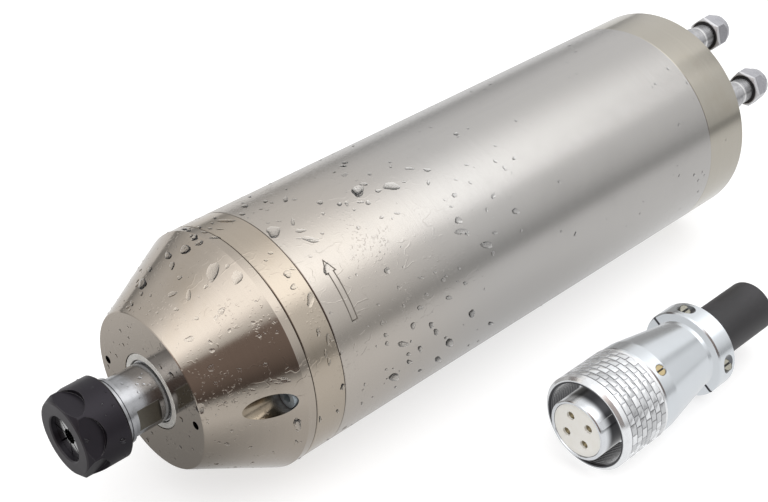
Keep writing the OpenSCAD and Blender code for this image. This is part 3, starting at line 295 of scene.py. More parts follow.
# the studio's light by direction: angles in degrees round X from +Y, 90 overhead
room = {
    "heights": [(0.0, 0.9), (0.5, 0.42), (0.53, 0.4), (0.6, 0.68), (0.667, 0.86),
                (0.727, 0.97), (1.0, 1.04)],
    "strip": 1.05,             # long soft light overhead, on top of the room
    "stripFar": (50, 104), "stripNear": (133, 112), "stripEnd": (0.745, 0.7),
    "stripLean": 11,
    "dark": (0.3, 0.24, 0.216),   # what is left of the light behind the camera
    "darkMiddle": (-0.685, -0.728), "darkEdge": (0.45, 0.8), "darkTop": (0.72, 0.64),
    "wall": 0.8,               # plain wall behind the rear end
    "wallEdge": (0.725, 0.755), "wallFoot": (-0.02, 0.02),
    "wallGain": 0.17, "wallGainEdge": (118, 104),
    "wallDip": 0.45, "wallDipFar": (95, 104), "wallDipNear": (128, 107),
    "farDip": 0.1, "farDipSide": (0.2, 0.75), "farDipEnd": (0.7, 0.5),
    "backdrop": 0.93,          # what the eye sees in its place
}


def makeWorld():
    world = bpy.data.worlds.new("Studio")
    scene.world = world
    world.use_nodes = True
    look = Look("Studio", world.node_tree)
    dx, dy, dz = look.axes("Generated")
    stops = [(place, grey(level)) for place, level in room["heights"]]
    height = look.node("ShaderNodeValToRGB", {"stops": stops}, {0: dz * 0.5 + 0.5})
    around = angleOf(dy, dz) * (180 / math.pi)

    # soft on the far side, crisper towards the camera
    across = around - dx * room["stripLean"]
    strip = across.fade(*room["stripFar"]) * across.fade(*room["stripNear"])
    strip = strip * dx.fade(*room["stripEnd"])

    darkX, darkY = room["darkMiddle"]
    facing = (dx * darkX + dy * darkY) / (hypot(dx, dy) + 0.001)
    dark = facing.fade(*room["darkEdge"]) * dz.fade(*room["darkTop"])

    # a little lighter on the far side
    wall = dx.fade(*room["wallEdge"]) * dz.fade(*room["wallFoot"])
    wallLight = around.fade(*room["wallGainEdge"]) * room["wallGain"] + room["wall"]
    dip = around.fade(*room["wallDipFar"]) * around.fade(*room["wallDipNear"])
    wallLight = wallLight * (1 - dip * room["wallDip"])
    farDip = dy.fade(*room["farDipSide"]) * dx.fade(*room["farDipEnd"]) * room["farDip"]
    lit = height * (1 - wall) * (1 - farDip) + wall * wallLight + strip * room["strip"]

    direct = look.node("ShaderNodeLightPath", output="Is Camera Ray")
    background = world.node_tree.nodes["Background"]
    look.feed(background.inputs["Color"],
              look.mix(dark * (1 - direct), grey(1), room["dark"]))
    look.feed(background.inputs["Strength"],
              lit * (1 - direct) + direct * room["backdrop"])


makeFloor()
makeWorld()
scene.view_settings.view_transform = "Standard"
scene.view_settings.look = "None"
print("studio: camera, light and floor set")


# finishes
plugCentre = (-35.4 * mm, -102.6 * mm, -29.5 * mm)
seams = {
    "cover": -126.5 * mm, "jacket": -112.5 * mm, "half": 0.17 * mm, "soft": 0.08 * mm,
    "tone": (0.1, 0.082, 0.068),
}


def seamGrime(x):
    # dark hairline at both ends of the flange, 0 to 1
    return either(*(under(abs(x - seams[end]), seams["half"], seams["soft"])
                    for end in ("cover", "jacket")))


def dampness(look, x, y, z):
    # fine spray in patches, and the thin edges of water films, as a height from 0 to 1
    patch = look.noise(x, y, z, scale=55, detail=3, rough=0.6)
    spray = look.noise(x, y, z, scale=950, detail=1).fade(0.6, 0.7) * patch.fade(0.5, 0.62)
    film = look.noise(x * 90, y * 140, z * 140)
    edge = abs(film - 0.52).fade(0.022, 0.004) * patch.fade(0.5, 0.4)
    return spray * 0.6 + edge * 0.38


pockets = {
    "angle": 171, "radius": 43.8 * mm, "bore": 4.78 * mm, "soft": 0.12 * mm,
    "mouth": (-166 * mm, -165 * mm), "deep": (-139.5 * mm, -136.5 * mm),
    # painted colours for the pockets: shade in the trough, a reflection at the far end
    "trough": (0.2, 0.155, 0.1), "troughPale": (0.36, 0.3, 0.22), "farEnd": (0.2, 0.22, 0.235),
}


def pocketMask(x, y, z):
    side = towards(y, z, pockets["angle"] + 90)
    high = abs(towards(y, z, pockets["angle"])) - pockets["radius"]
    inside = under(hypot(side, high), pockets["bore"], pockets["soft"])
    return inside * x.fade(*pockets["mouth"])


def turnedSteel(name, colour, roughness, grain=0.05, pocket=False, damp=False):
    # steel turned or ground round the X axis: fine rings, cloudy stains
    look = Look(name)
    x, y, z = look.place()
    r = hypot(y, z)
    slow = slant(y, z) * 28
    fine = look.noise(x * 5200, r * 5200, slow)
    coarse = look.noise(x * 700, r * 700, slow * 0.6, detail=3)
    cloud = look.noise(x, y, z, scale=38, detail=4, rough=0.62)
    rings = fine * 0.6 + coarse * 0.4
    base = look.mix(rings, scaled(colour, 0.94), scaled(colour, 1.06))
    stained = tinted(colour, (0.9, 0.87, 0.82))
    base = look.mix(cloud.fade(0.52, 0.78) * 0.55, base, stained)
    grimeAndShade = seamGrime(x)
    base = look.mix(grimeAndShade, base, seams["tone"])
    dull = grimeAndShade * 0.3
    metal = 1.0
    if pocket:
        # the screw pockets get painted shade: a gold-brown trough, and a blue-grey far end
        # painted as a reflection
        inside = pocketMask(x, y, z)
        deep = x.fade(*pockets["deep"])
        trough = look.mix(cloud.fade(0.35, 0.65), pockets["trough"], pockets["troughPale"])
        base = look.mix(inside, base, look.mix(deep, trough, pockets["farEnd"]))
        dull = dull + inside * 0.14
        metal = 1 - inside * deep * 0.6
    wet = None
    if damp:
        wet = look.bump(dampness(look, x, y, z), distance=0.12 * mm, strength=0.6)
    return look.surface({
        "Base Color": base,
        "Metallic": metal,
        "Roughness": roughness + (rings - 0.5) * grain * 2 + (cloud - 0.5) * 0.06 + dull,
        "Normal": look.bump(rings, distance=0.02 * mm, strength=0.35, normal=wet),
    })


def plated(name, colour, roughness, centre=(0, 0, 0), mottle=0.05, mask=None, metal=1.0):
    # bright plating with faint flow marks and pale patches; a mask paints shade on part of
    # it
    look = Look(name)
    x, y, z = look.place(centre)
    cloud = look.noise(x, y, z, scale=120, detail=4, rough=0.6)
    flow = look.noise(x * 420, hypot(y, z) * 420, slant(y, z) * 90)
    base = look.mix(cloud, scaled(colour, 1 - mottle), colour)
    if mask:
        base = look.mix(mask(x, y, z), base, (0.03, 0.03, 0.033))
    return look.surface({
        "Base Color": base,
        "Metallic": metal,
        "Roughness": roughness + (cloud - 0.5) * 0.06 + (flow - 0.5) * 0.04,
        "Normal": look.bump(flow, distance=0.03 * mm, strength=0.15),
    })


# the plug's slotted screws: three of brass in the backshell, two of steel in the clamp
brassSlots = {
    "x": 31 * mm, "slotHalf": 0.36 * mm, "rim": (1.9 * mm, 2.3 * mm), "rimShade": 0.75,
    "grain": 900, "dark": (0.34, 0.27, 0.15), "bright": (0.5, 0.41, 0.24),
    # the colour of the painted shade in the slot and round the head
    "grimeAndShade": (0.035, 0.03, 0.022), "roughness": 0.3,
}
steelSlots = {
    "x": 67.4 * mm, "slotHalf": 0.42 * mm, "rim": (2.1 * mm, 2.6 * mm), "rimShade": 0.8,
    "grain": 800, "dark": (0.2, 0.19, 0.155), "bright": (0.38, 0.37, 0.32),
    # the colour of the painted shade in the slot and round the head
    "grimeAndShade": (0.02, 0.02, 0.018), "roughness": 0.28,
}
# the plug's clamp, from the plug's centre
clamp = {
    "angle": 123, "splitHalf": 0.64 * mm, "splitSoft": 0.04 * mm,
    "screwSide": 13.7 * mm, "seat": 2.94 * mm, "seatSoft": 0.05 * mm,
}


def clampScrewSide(y, z):
    return abs(towards(y, z, clamp["angle"] + 90)) - clamp["screwSide"]


def clampShadow(x, y, z):
    # the split between the clamp's halves and the seats of its screws hold no light
    gap = abs(towards(y, z, clamp["angle"]))
    split = under(gap, clamp["splitHalf"], clamp["splitSoft"])
    away = hypot(x - steelSlots["x"], clampScrewSide(y, z))
    return either(split, under(away, clamp["seat"], clamp["seatSoft"]) * 0.8)


def barrelShadow(x, y, z):
    # the barrel darkens down inside the coupling ring
    return x.fade(-3 * mm, 1.2 * mm) * 0.985


# the mark on the jacket, in millimetres and degrees round the axis
arrow = {
    "x": -101.7, "tip": 122, "length": 24.9, "headLength": 5.2,
    "headHalf": 2.3, "shaftHalf": 1.25, "line": 0.5, "soft": 0.06,
    "bodyRadius": 50, "tone": (0.16, 0.14, 0.12),
}


def arrowOutline(x, angle):
    # hollow arrow for the direction of turning; its tip lies at 0, its tail further round
    half = abs(x - arrow["x"] * mm) / mm
    back = (angle - arrow["tip"]) * (math.radians(1) * arrow["bodyRadius"])
    slope = arrow["headHalf"] / arrow["headLength"]
    soft = arrow["soft"]

    def inside(grow):
        head = under(half, back * slope + grow * 1.1, soft)
        head = head * under(back, arrow["headLength"] + grow, soft)
        shaft = under(half, arrow["shaftHalf"] + grow, soft)
        shaft = shaft * under(back, arrow["length"] + grow, soft)
        shaft = shaft * (back - (arrow["headLength"] - 0.5)).fade(-soft, soft)
        return either(head, shaft)

    return inside(arrow["line"] / 2) * (1 - inside(-arrow["line"] / 2))


def brushedTube(name, colour, roughness):
    # long tube brushed on a lathe: the rings smear reflections along the tube
    look = Look(name)
    x, y, z = look.place()
    angle = angleOf(y, z)
    fine = look.noise(x * 4200, angle * 1.3, 0, detail=3, rough=0.7)
    broad = look.noise(x * 520, angle * 0.7, 4, detail=3)
    cloud = look.noise(x, y, z, scale=30, detail=4, rough=0.6)
    rings = fine * 0.7 + broad * 0.3
    base = look.mix(rings, scaled(colour, 0.95), scaled(colour, 1.05))
    base = look.mix(x.fade(-0.02, -0.11), base, tinted(colour, (1.06, 1.0, 0.93)))
    base = look.mix(cloud.fade(0.5, 0.8) * 0.4, base, scaled(colour, 0.88))
    mark = arrowOutline(x, angle * (180 / math.pi))
    base = look.mix(mark, base, arrow["tone"])
    wet = dampness(look, x, y, z) * x.fade(-0.01, -0.085)     # the nose end is wetter
    return look.surface({
        "Base Color": look.mix(seamGrime(x), base, seams["tone"]),
        "Metallic": 1 - mark * 0.5,
        "Roughness": roughness + (rings - 0.5) * 0.1 + (cloud - 0.5) * 0.05 + mark * 0.25,
        "Normal": look.bump(rings - mark * 0.5, distance=0.05 * mm, strength=0.8,
                            normal=look.bump(wet, distance=0.14 * mm, strength=0.7)),
    })


neck = {
    "flatRadius": 11.92 * mm, "flatFront": (-178.1 * mm, -177.8 * mm),
    "flatBack": (-167.7 * mm, -168 * mm),
    "bright": (0.385, 0.39, 0.405), "cloudy": grey(0.25),
    # painted shade on the wrench flats, standing in for a dark reflection
    "milledDark": (0.1, 0.092, 0.078), "milled": (0.17, 0.158, 0.132),
}


def neckSteel(name):
    # polished neck; the two wrench flats are milled and dull, and painted dark as a
    # stand-in for a dark reflection
    look = Look(name)
    x, y, z = look.place()
    r = hypot(y, z)
    fine = look.noise(x * 5200, slant(y, z) * 30, r * 900)
    cloud = look.noise(x, y, z, scale=210, detail=4, rough=0.62)
    cut = look.noise(x * 900, y * 200, z * 4200)
    flat = under(r, neck["flatRadius"], 0.04 * mm)
    flat = flat * x.fade(*neck["flatFront"]) * x.fade(*neck["flatBack"])
    polished = look.mix(cloud.fade(0.4, 0.75) * 0.6, neck["bright"], neck["cloudy"])
    milled = look.mix(cut, neck["milledDark"], neck["milled"])
    return look.surface({
        "Base Color": look.mix(flat, polished, milled),
        "Metallic": 1.0,
        "Roughness": 0.19 + (cloud - 0.5) * 0.1 + flat * 0.14,
        "Normal": look.bump(fine * 0.5 + cloud * 0.5 + flat * cut, distance=0.03 * mm,
                            strength=0.4),
    })


# rows of bricks along the coupling ring, in millimetres from the plug's centre
knurl = {
    "start": 3.6, "pitch": 20.8 / 7, "rows": 7, "bricks": 28, "groove": 0.18,
    "outside": 19.85, "floor": 20.25, "mouth": 18.8, "threadPitch": 1.1,
    # painted shade: on the groove floors, and down inside the threaded mouth
    "grooveShade": (0.15, 0.15, 0.165), "threadShade": (0.016, 0.016, 0.02),
}


def pillow(share):
    # 1 at the middle, 0 at both ends
    return 1 - (share * 2 - 1).math("POWER", 2)


def knurledRing(name, colour):
    # staggered bricks: painted shade on the groove floors and inside the ring's mouth, each
    # brick a little pillowed and uneven
    look = Look(name)
    x, y, z = look.place(plugCentre)
    r = hypot(y, z)
    along = (x / mm - knurl["start"]) / knurl["pitch"]
    row = along.math("FLOOR")
    odd = (row * 0.5).math("FRACT")          # 0 or 0.5
    turn = angleOf(y, z) * (knurl["bricks"] / (2 * math.pi)) - odd
    brick = turn.math("FLOOR")
    inRow = (along - row) * (1 + knurl["groove"]) - knurl["groove"]
    domed = pillow(turn - brick) * pillow(inRow)
    knurled = (r - knurl["outside"] * mm).fade(0, 0.1 * mm) * along.fade(-0.1, 0)
    knurled = knurled * along.fade(knurl["rows"] + 0.1, knurl["rows"])
    floor = under(r, knurl["floor"] * mm, 0.1 * mm) * knurled
    uneven = look.noise(row * 7.3, brick * 3.1, 0, scale=1.7, detail=0)
    cloud = look.noise(x, y, z, scale=240, detail=3)
    inside = under(r, knurl["mouth"] * mm, 0.2 * mm)
    thread = waves(x, knurl["threadPitch"] * mm) * inside
    tone = look.mix(uneven.fade(0.3, 0.72) * knurled, colour, scaled(colour, 0.62))
    tone = look.mix(cloud.fade(0.45, 0.8) * 0.35, tone, scaled(colour, 0.8))
    # painted shade down inside the ring's mouth, with thread lines
    tone = look.mix(inside * (thread * 0.055 + 0.94), tone, knurl["threadShade"])
    rough = 0.15 + (cloud - 0.5) * 0.06 + (uneven - 0.5) * 0.16 * knurled + floor * 0.3
    return look.surface({
        "Base Color": look.mix(floor, tone, knurl["grooveShade"]),
        "Metallic": 0.8 - floor * 0.1 + inside * 0.2,
        "Roughness": rough,
        "Normal": look.bump(domed * knurled * (0.4 + uneven) + thread * 0.4,
                            distance=0.3 * mm, strength=0.6),
    })


def brassScrewSide(y, z):
    turn = angleOf(y, z) - math.radians(clamp["angle"])
    return (turn * 3).math("SINE") * hypot(y, z) / 3


def slottedScrews(name, kind, sideOf):
    # painted shade in the slot and in a line round each head
    look = Look(name)
    x, y, z = look.place((plugCentre[0] + kind["x"], plugCentre[1], plugCentre[2]))
    side = sideOf(y, z)
    slot = under(abs(side), kind["slotHalf"], 0.05 * mm)
    grimeAndShade = either(slot, hypot(x, side).fade(*kind["rim"]) * kind["rimShade"])
    cloud = look.noise(x, y, z, scale=kind["grain"], detail=3)
    clean = look.mix(cloud, kind["dark"], kind["bright"])
    return look.surface({
        "Base Color": look.mix(grimeAndShade, clean, kind["grimeAndShade"]),
        "Metallic": 1 - grimeAndShade * 0.6,
        "Roughness": kind["roughness"] + (cloud - 0.5) * 0.15 + grimeAndShade * 0.2,
        "Normal": look.bump(cloud - slot, distance=0.1 * mm, strength=0.4),
    })


fittings = {
    "radius": 38.5 * mm, "inlet": 151.2, "outlet": 102.8,
    "front": (158.6 * mm, 158.2 * mm), "ring": 7.05 * mm, "ringTone": (0.02, 0.018, 0.02),
    # painted highlight on the nut's chamfer
    "chamferHighlight": (0.72, 0.72, 0.74),
    "thread": (151.5 * mm, 151.8 * mm), "threadPitch": 0.8 * mm,
    # the thread's grooves are painted with shade
    "threadShade": (0.22, 0.22, 0.225), "shoulder": 150.6 * mm, "shoulderHalf": 0.5 * mm,
}


def fittingCentre(which):
    turn = math.radians(fittings[which])
    return (0, fittings["radius"] * math.cos(turn), fittings["radius"] * math.sin(turn))


def domedNut(name, which):
    # hexagon nut of a hose fitting: black ring round the stub, a painted highlight on the
    # chamfer
    look = Look(name)
    x, y, z = look.place(fittingCentre(which))
    cloud = look.noise(x, y, z, scale=260, detail=4, rough=0.6)
    front = x.fade(*fittings["front"])
    ring = under(hypot(y, z), fittings["ring"], 0.1 * mm) * front
    chamfer = front * (1 - ring)
    base = look.mix(cloud.fade(0.35, 0.75), (0.5, 0.5, 0.53), (0.42, 0.42, 0.45))
    base = look.mix(chamfer, base, fittings["chamferHighlight"])
    return look.surface({
        "Base Color": look.mix(ring, base, fittings["ringTone"]),
        "Metallic": 1 - ring,
        "Roughness": 0.26 + (cloud - 0.5) * 0.12 + chamfer * 0.3 + ring * 0.2,
        "Normal": look.bump(cloud, distance=0.05 * mm, strength=0.3),
    })


def threadedStub(name, which):
    # plated stub: light turned shoulder, fine thread towards the nut, its grooves darkened
    # with painted shade
    look = Look(name)
    x, y, z = look.place(fittingCentre(which))
    cloud = look.noise(x, y, z, scale=330, detail=4, rough=0.65)
    threaded = x.fade(*fittings["thread"])
    thread = waves(x, fittings["threadPitch"])
    shoulder = under(abs(x - fittings["shoulder"]), fittings["shoulderHalf"], 0.2 * mm)
    base = look.mix(cloud.fade(0.3, 0.75), (0.5, 0.5, 0.51), (0.37, 0.37, 0.385))
    base = look.mix(threaded * (thread * 0.3 + 0.3), base, fittings["threadShade"])
    return look.surface({
        "Base Color": look.mix(shoulder, base, grey(0.7)),
        "Metallic": 1.0,
        "Roughness": 0.25 + (cloud - 0.5) * 0.1,
        "Normal": look.bump(cloud * 0.1 + thread * threaded * 0.7, distance=0.1 * mm,
                            strength=0.5),
    })


def blackened(name, colour, roughness):
    # blackened steel: satin, a little dusty, worn bright where edges stand out
    look = Look(name)
    x, y, z = look.place()
    rings = look.noise(x * 2600, hypot(y, z) * 2600, slant(y, z) * 40)
    cloud = look.noise(x, y, z, scale=170, detail=4, rough=0.65)
    soft = look.node("ShaderNodeBevel", {"samples": 6}, {"Radius": 0.35 * mm})
    flat = look.node("ShaderNodeNewGeometry", output="Normal")
    along = look.node("ShaderNodeVectorMath", {"operation": "DOT_PRODUCT"},
                      {0: soft, 1: flat}, output="Value")
    edge = (1 - along).fade(0.02, 0.2) * cloud.fade(0.3, 0.62)
    base = look.mix(rings * 0.6 + cloud * 0.4, colour, scaled(colour, 1.9))
    face = x.fade(-201.3 * mm, -201.6 * mm)     # the front face is painted lighter, standing in for light that it catches
    base = look.mix(face, base, (0.041, 0.037, 0.042))
    return look.surface({
        "Base Color": look.mix(edge * 0.7, base, (0.17, 0.165, 0.17)),
        "Metallic": 0.55,
        "Roughness": roughness + (cloud - 0.5) * 0.16 - edge * 0.12,
        "Normal": look.bump(rings * 0.5 + cloud * 0.5, distance=0.03 * mm, strength=0.35,
                            normal=soft),
    })


def plastic(name, colour, shade, roughness, centre=(0, 0, 0), rim=None):
    # moulded plastic, mottled and a little gritty, darker outside a rim's radius
    look = Look(name)
    x, y, z = look.place(centre)
    cloud = look.noise(x, y, z, scale=260, detail=4, rough=0.6)
    grit = look.noise(x, y, z, scale=2600, detail=1)
    base = look.mix(cloud.fade(0.3, 0.75), colour, shade)
    if rim:
        outside = (hypot(y, z) - rim).fade(-0.08 * mm, 0.08 * mm)
        base = look.mix(outside, base, (0.05, 0.048, 0.045))
    return look.surface({
        "Base Color": base,
        "Roughness": roughness + (cloud - 0.5) * 0.12,
        "Normal": look.bump(grit * 0.5 + cloud * 0.5, distance=0.02 * mm, strength=0.4),
    })


def rubber(name, colour, centre):
    # moulded rubber: dull bloom on rubbed places, faint mould lines
    look = Look(name)
    x, y, z = look.place(centre)
    bloom = look.noise(x * 60, y * 110, z * 110, detail=4, rough=0.6)
    grit = look.noise(x, y, z, scale=3200)
    return look.surface({
        "Base Color": look.mix(bloom.fade(0.35, 0.8), colour, scaled(colour, 2.1)),
        "Roughness": 0.5 + (bloom - 0.5) * 0.22,
        "Normal": look.bump(grit, distance=0.04 * mm, strength=0.4),
    })


def winding(name):
    # varnished copper wire laid side by side
    look = Look(name)
    x, y, z = look.place()
    wires = (hypot(y, z) * 5200 + angleOf(y, z) * 5).math("SINE")
    cloud = look.noise(x, y, z, scale=90, detail=3)
    return look.surface({
        "Base Color": look.mix(cloud, (0.5, 0.2, 0.07), (0.72, 0.33, 0.13)),
        "Metallic": 0.6, "Roughness": 0.34 + cloud * 0.12,
        "Coat Weight": 0.4,
        "Normal": look.bump(wires, distance=0.3 * mm, strength=0.8),
    })


def sheets(name, colour):
    # thin stamped sheets stacked along X
    look = Look(name)
    x, y, z = look.place()
    lines = waves(x, 1.2 * mm)
    cloud = look.noise(x * 40, y * 90, z * 90, detail=3)
    return look.surface({
        "Base Color": look.mix(lines * 0.25 + cloud * 0.5, colour, scaled(colour, 1.5)),
        "Metallic": 0.9, "Roughness": 0.42 + cloud * 0.12,
        "Normal": look.bump(lines, distance=0.08 * mm, strength=0.6),
    })


def boxRadius(name):
    low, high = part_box(name)
    return (high[2] - low[2]) / 2


# each finish with the nodes that wear it
dress = [
    (turnedSteel("WarmSteel", (0.42, 0.371, 0.318), 0.12, grain=0.03, pocket=True,
                 damp=True),
     ["front_cover"]),
    (turnedSteel("FlangeSteel", (0.455, 0.398, 0.33), 0.17, grain=0.04, damp=True),
     ["front_flange"]),
    (brushedTube("JacketSteel", (0.468, 0.456, 0.441), 0.24), ["jacket"]),
    (turnedSteel("RearSteel", (0.462, 0.436, 0.382), 0.14, grain=0.03), ["rear_cover"]),
    (neckSteel("NeckSteel"), ["shaft"]),
    (turnedSteel("GroundSteel", grey(0.62), 0.13, grain=0.04),
     ["shaft_slinger", "front_outer_races", "front_inner_races", "rear_outer_races",
      "rear_inner_races", "collet"]),
    (plated("PocketScrew", (0.36, 0.41, 0.44), 0.42, mottle=0.3, metal=0.45),
     ["cover_screws"]),
    (plated("ScrewSteel", (0.5, 0.49, 0.46), 0.3),
     ["flange_screws", "rear_cover_screws", "receptacle_screws", "front_outer_spacer",
      "front_inner_spacer", "front_lock_nut", "rear_lock_nut", "preload_spring"]),
    (plated("ZincPlate", (0.55, 0.55, 0.58), 0.24), ["receptacle_shell"]),
    (domedNut("InletHexagon", "inlet"), ["inlet_nut"]),
    (domedNut("OutletHexagon", "outlet"), ["outlet_nut"]),
    (threadedStub("InletStub", "inlet"), ["inlet_fitting"]),
    (threadedStub("OutletStub", "outlet"), ["outlet_fitting"]),
    (plated("ChromePlate", (0.73, 0.765, 0.8), 0.24, plugCentre),
     ["plug_body", "backshell"]),
    (plated("ClampChrome", (0.73, 0.765, 0.8), 0.2, plugCentre, mask=clampShadow),
     ["cable_clamp"]),
    # brass darkened with painted shade down in the socket holes
    (plated("SocketBrass", (0.2, 0.165, 0.1), 0.4, plugCentre, mottle=0.25),
     ["plug_sockets"]),
    (plated("BarrelChrome", (0.76, 0.78, 0.81), 0.15, plugCentre, mask=barrelShadow),
     ["plug_shell"]),
    (knurledRing("KnurledChrome", (0.9, 0.915, 0.935)), ["coupling_ring"]),
    (slottedScrews("SlottedBrass", brassSlots, brassScrewSide), ["backshell_screws"]),
    (slottedScrews("SlottedSteel", steelSlots, clampScrewSide), ["clamp_screws"]),
    (blackened("BlackOxide", (0.0115, 0.0095, 0.0135), 0.4), ["collet_nut"]),
    (plated("Brass", (0.72, 0.53, 0.27), 0.25, mottle=0.2),
     ["receptacle_pins", "front_cages", "rear_cages", "inlet_ferrule", "outlet_ferrule"]),
    (turnedSteel("Aluminium", (0.72, 0.73, 0.74), 0.3),
     ["cooling_sleeve", "rear_bearing_housing", "rotor_cage"]),
    (plastic("SealPlastic", (0.82, 0.81, 0.77), (0.66, 0.65, 0.6), 0.38), ["dust_seal"]),
    (plastic("IvoryPlastic", (0.96, 0.955, 0.91), (0.93, 0.92, 0.86), 0.3, plugCentre,
             rim=boxRadius("plug_insulator") - 0.25 * mm),
     ["plug_insulator"]),
    (plastic("DarkPlastic", (0.03, 0.03, 0.032), (0.05, 0.05, 0.052), 0.4),
     ["receptacle_insulator"]),
    (rubber("BlackRubber", (0.018, 0.017, 0.019), plugCentre),
     ["rubber_sleeve", "sleeve_seals", "receptacle_gasket"]),
    (winding("CopperWire"), ["stator_windings", "fitting_washers"]),
    (sheets("CoreSheets", (0.2, 0.2, 0.215)), ["stator_core", "rotor_core"]),
    (plated("BearingBall", (0.82, 0.83, 0.85), 0.06), ["front_balls", "rear_balls"]),
    (plastic("RedWire", (0.45, 0.03, 0.02), (0.3, 0.02, 0.015), 0.4), ["phase_leads"]),
]

bare = set(nodes)
for finish, names in dress:
    for name in names:
        mesh = nodes[name].data
        mesh.materials.clear()
        mesh.materials.append(finish)
        bare.discard(name)

# the plug gives no mirror image on the jacket
for body in ("plug", "plug_ring"):
    for name in frame["record"]["behaviour"]["bodies"][body]:
        nodes[name].visible_glossy = False
print("finishes: set on the nodes; bare:", sorted(bare))


# water: beads that still stand on the spindle, most of them at the nose end,
# in millimetres
water = {
    "noseX": -164.5, "coneX": -130.5, "faceRadius": 32.5, "bodyRadius": 50.0,
    "tall": 0.15,           # height of a bead as a share of its width
    "tallest": 0.55, "lowest": 0.05,
    "sunk": 0.015,          # how far the rim lies under the metal
    "slack": 0.01,          # kept free between a bead and the body's own box
    "small": 1.3,           # beads up to this length have fewer corners
    "seed": 7,
}
# fine beads strewn between the larger ones, denser towards the nose end
spray = {
    "count": 800, "ends": (-163, 128), "crowding": 1.9,
    "width": 0.35, "widthSpread": 1.1,
}
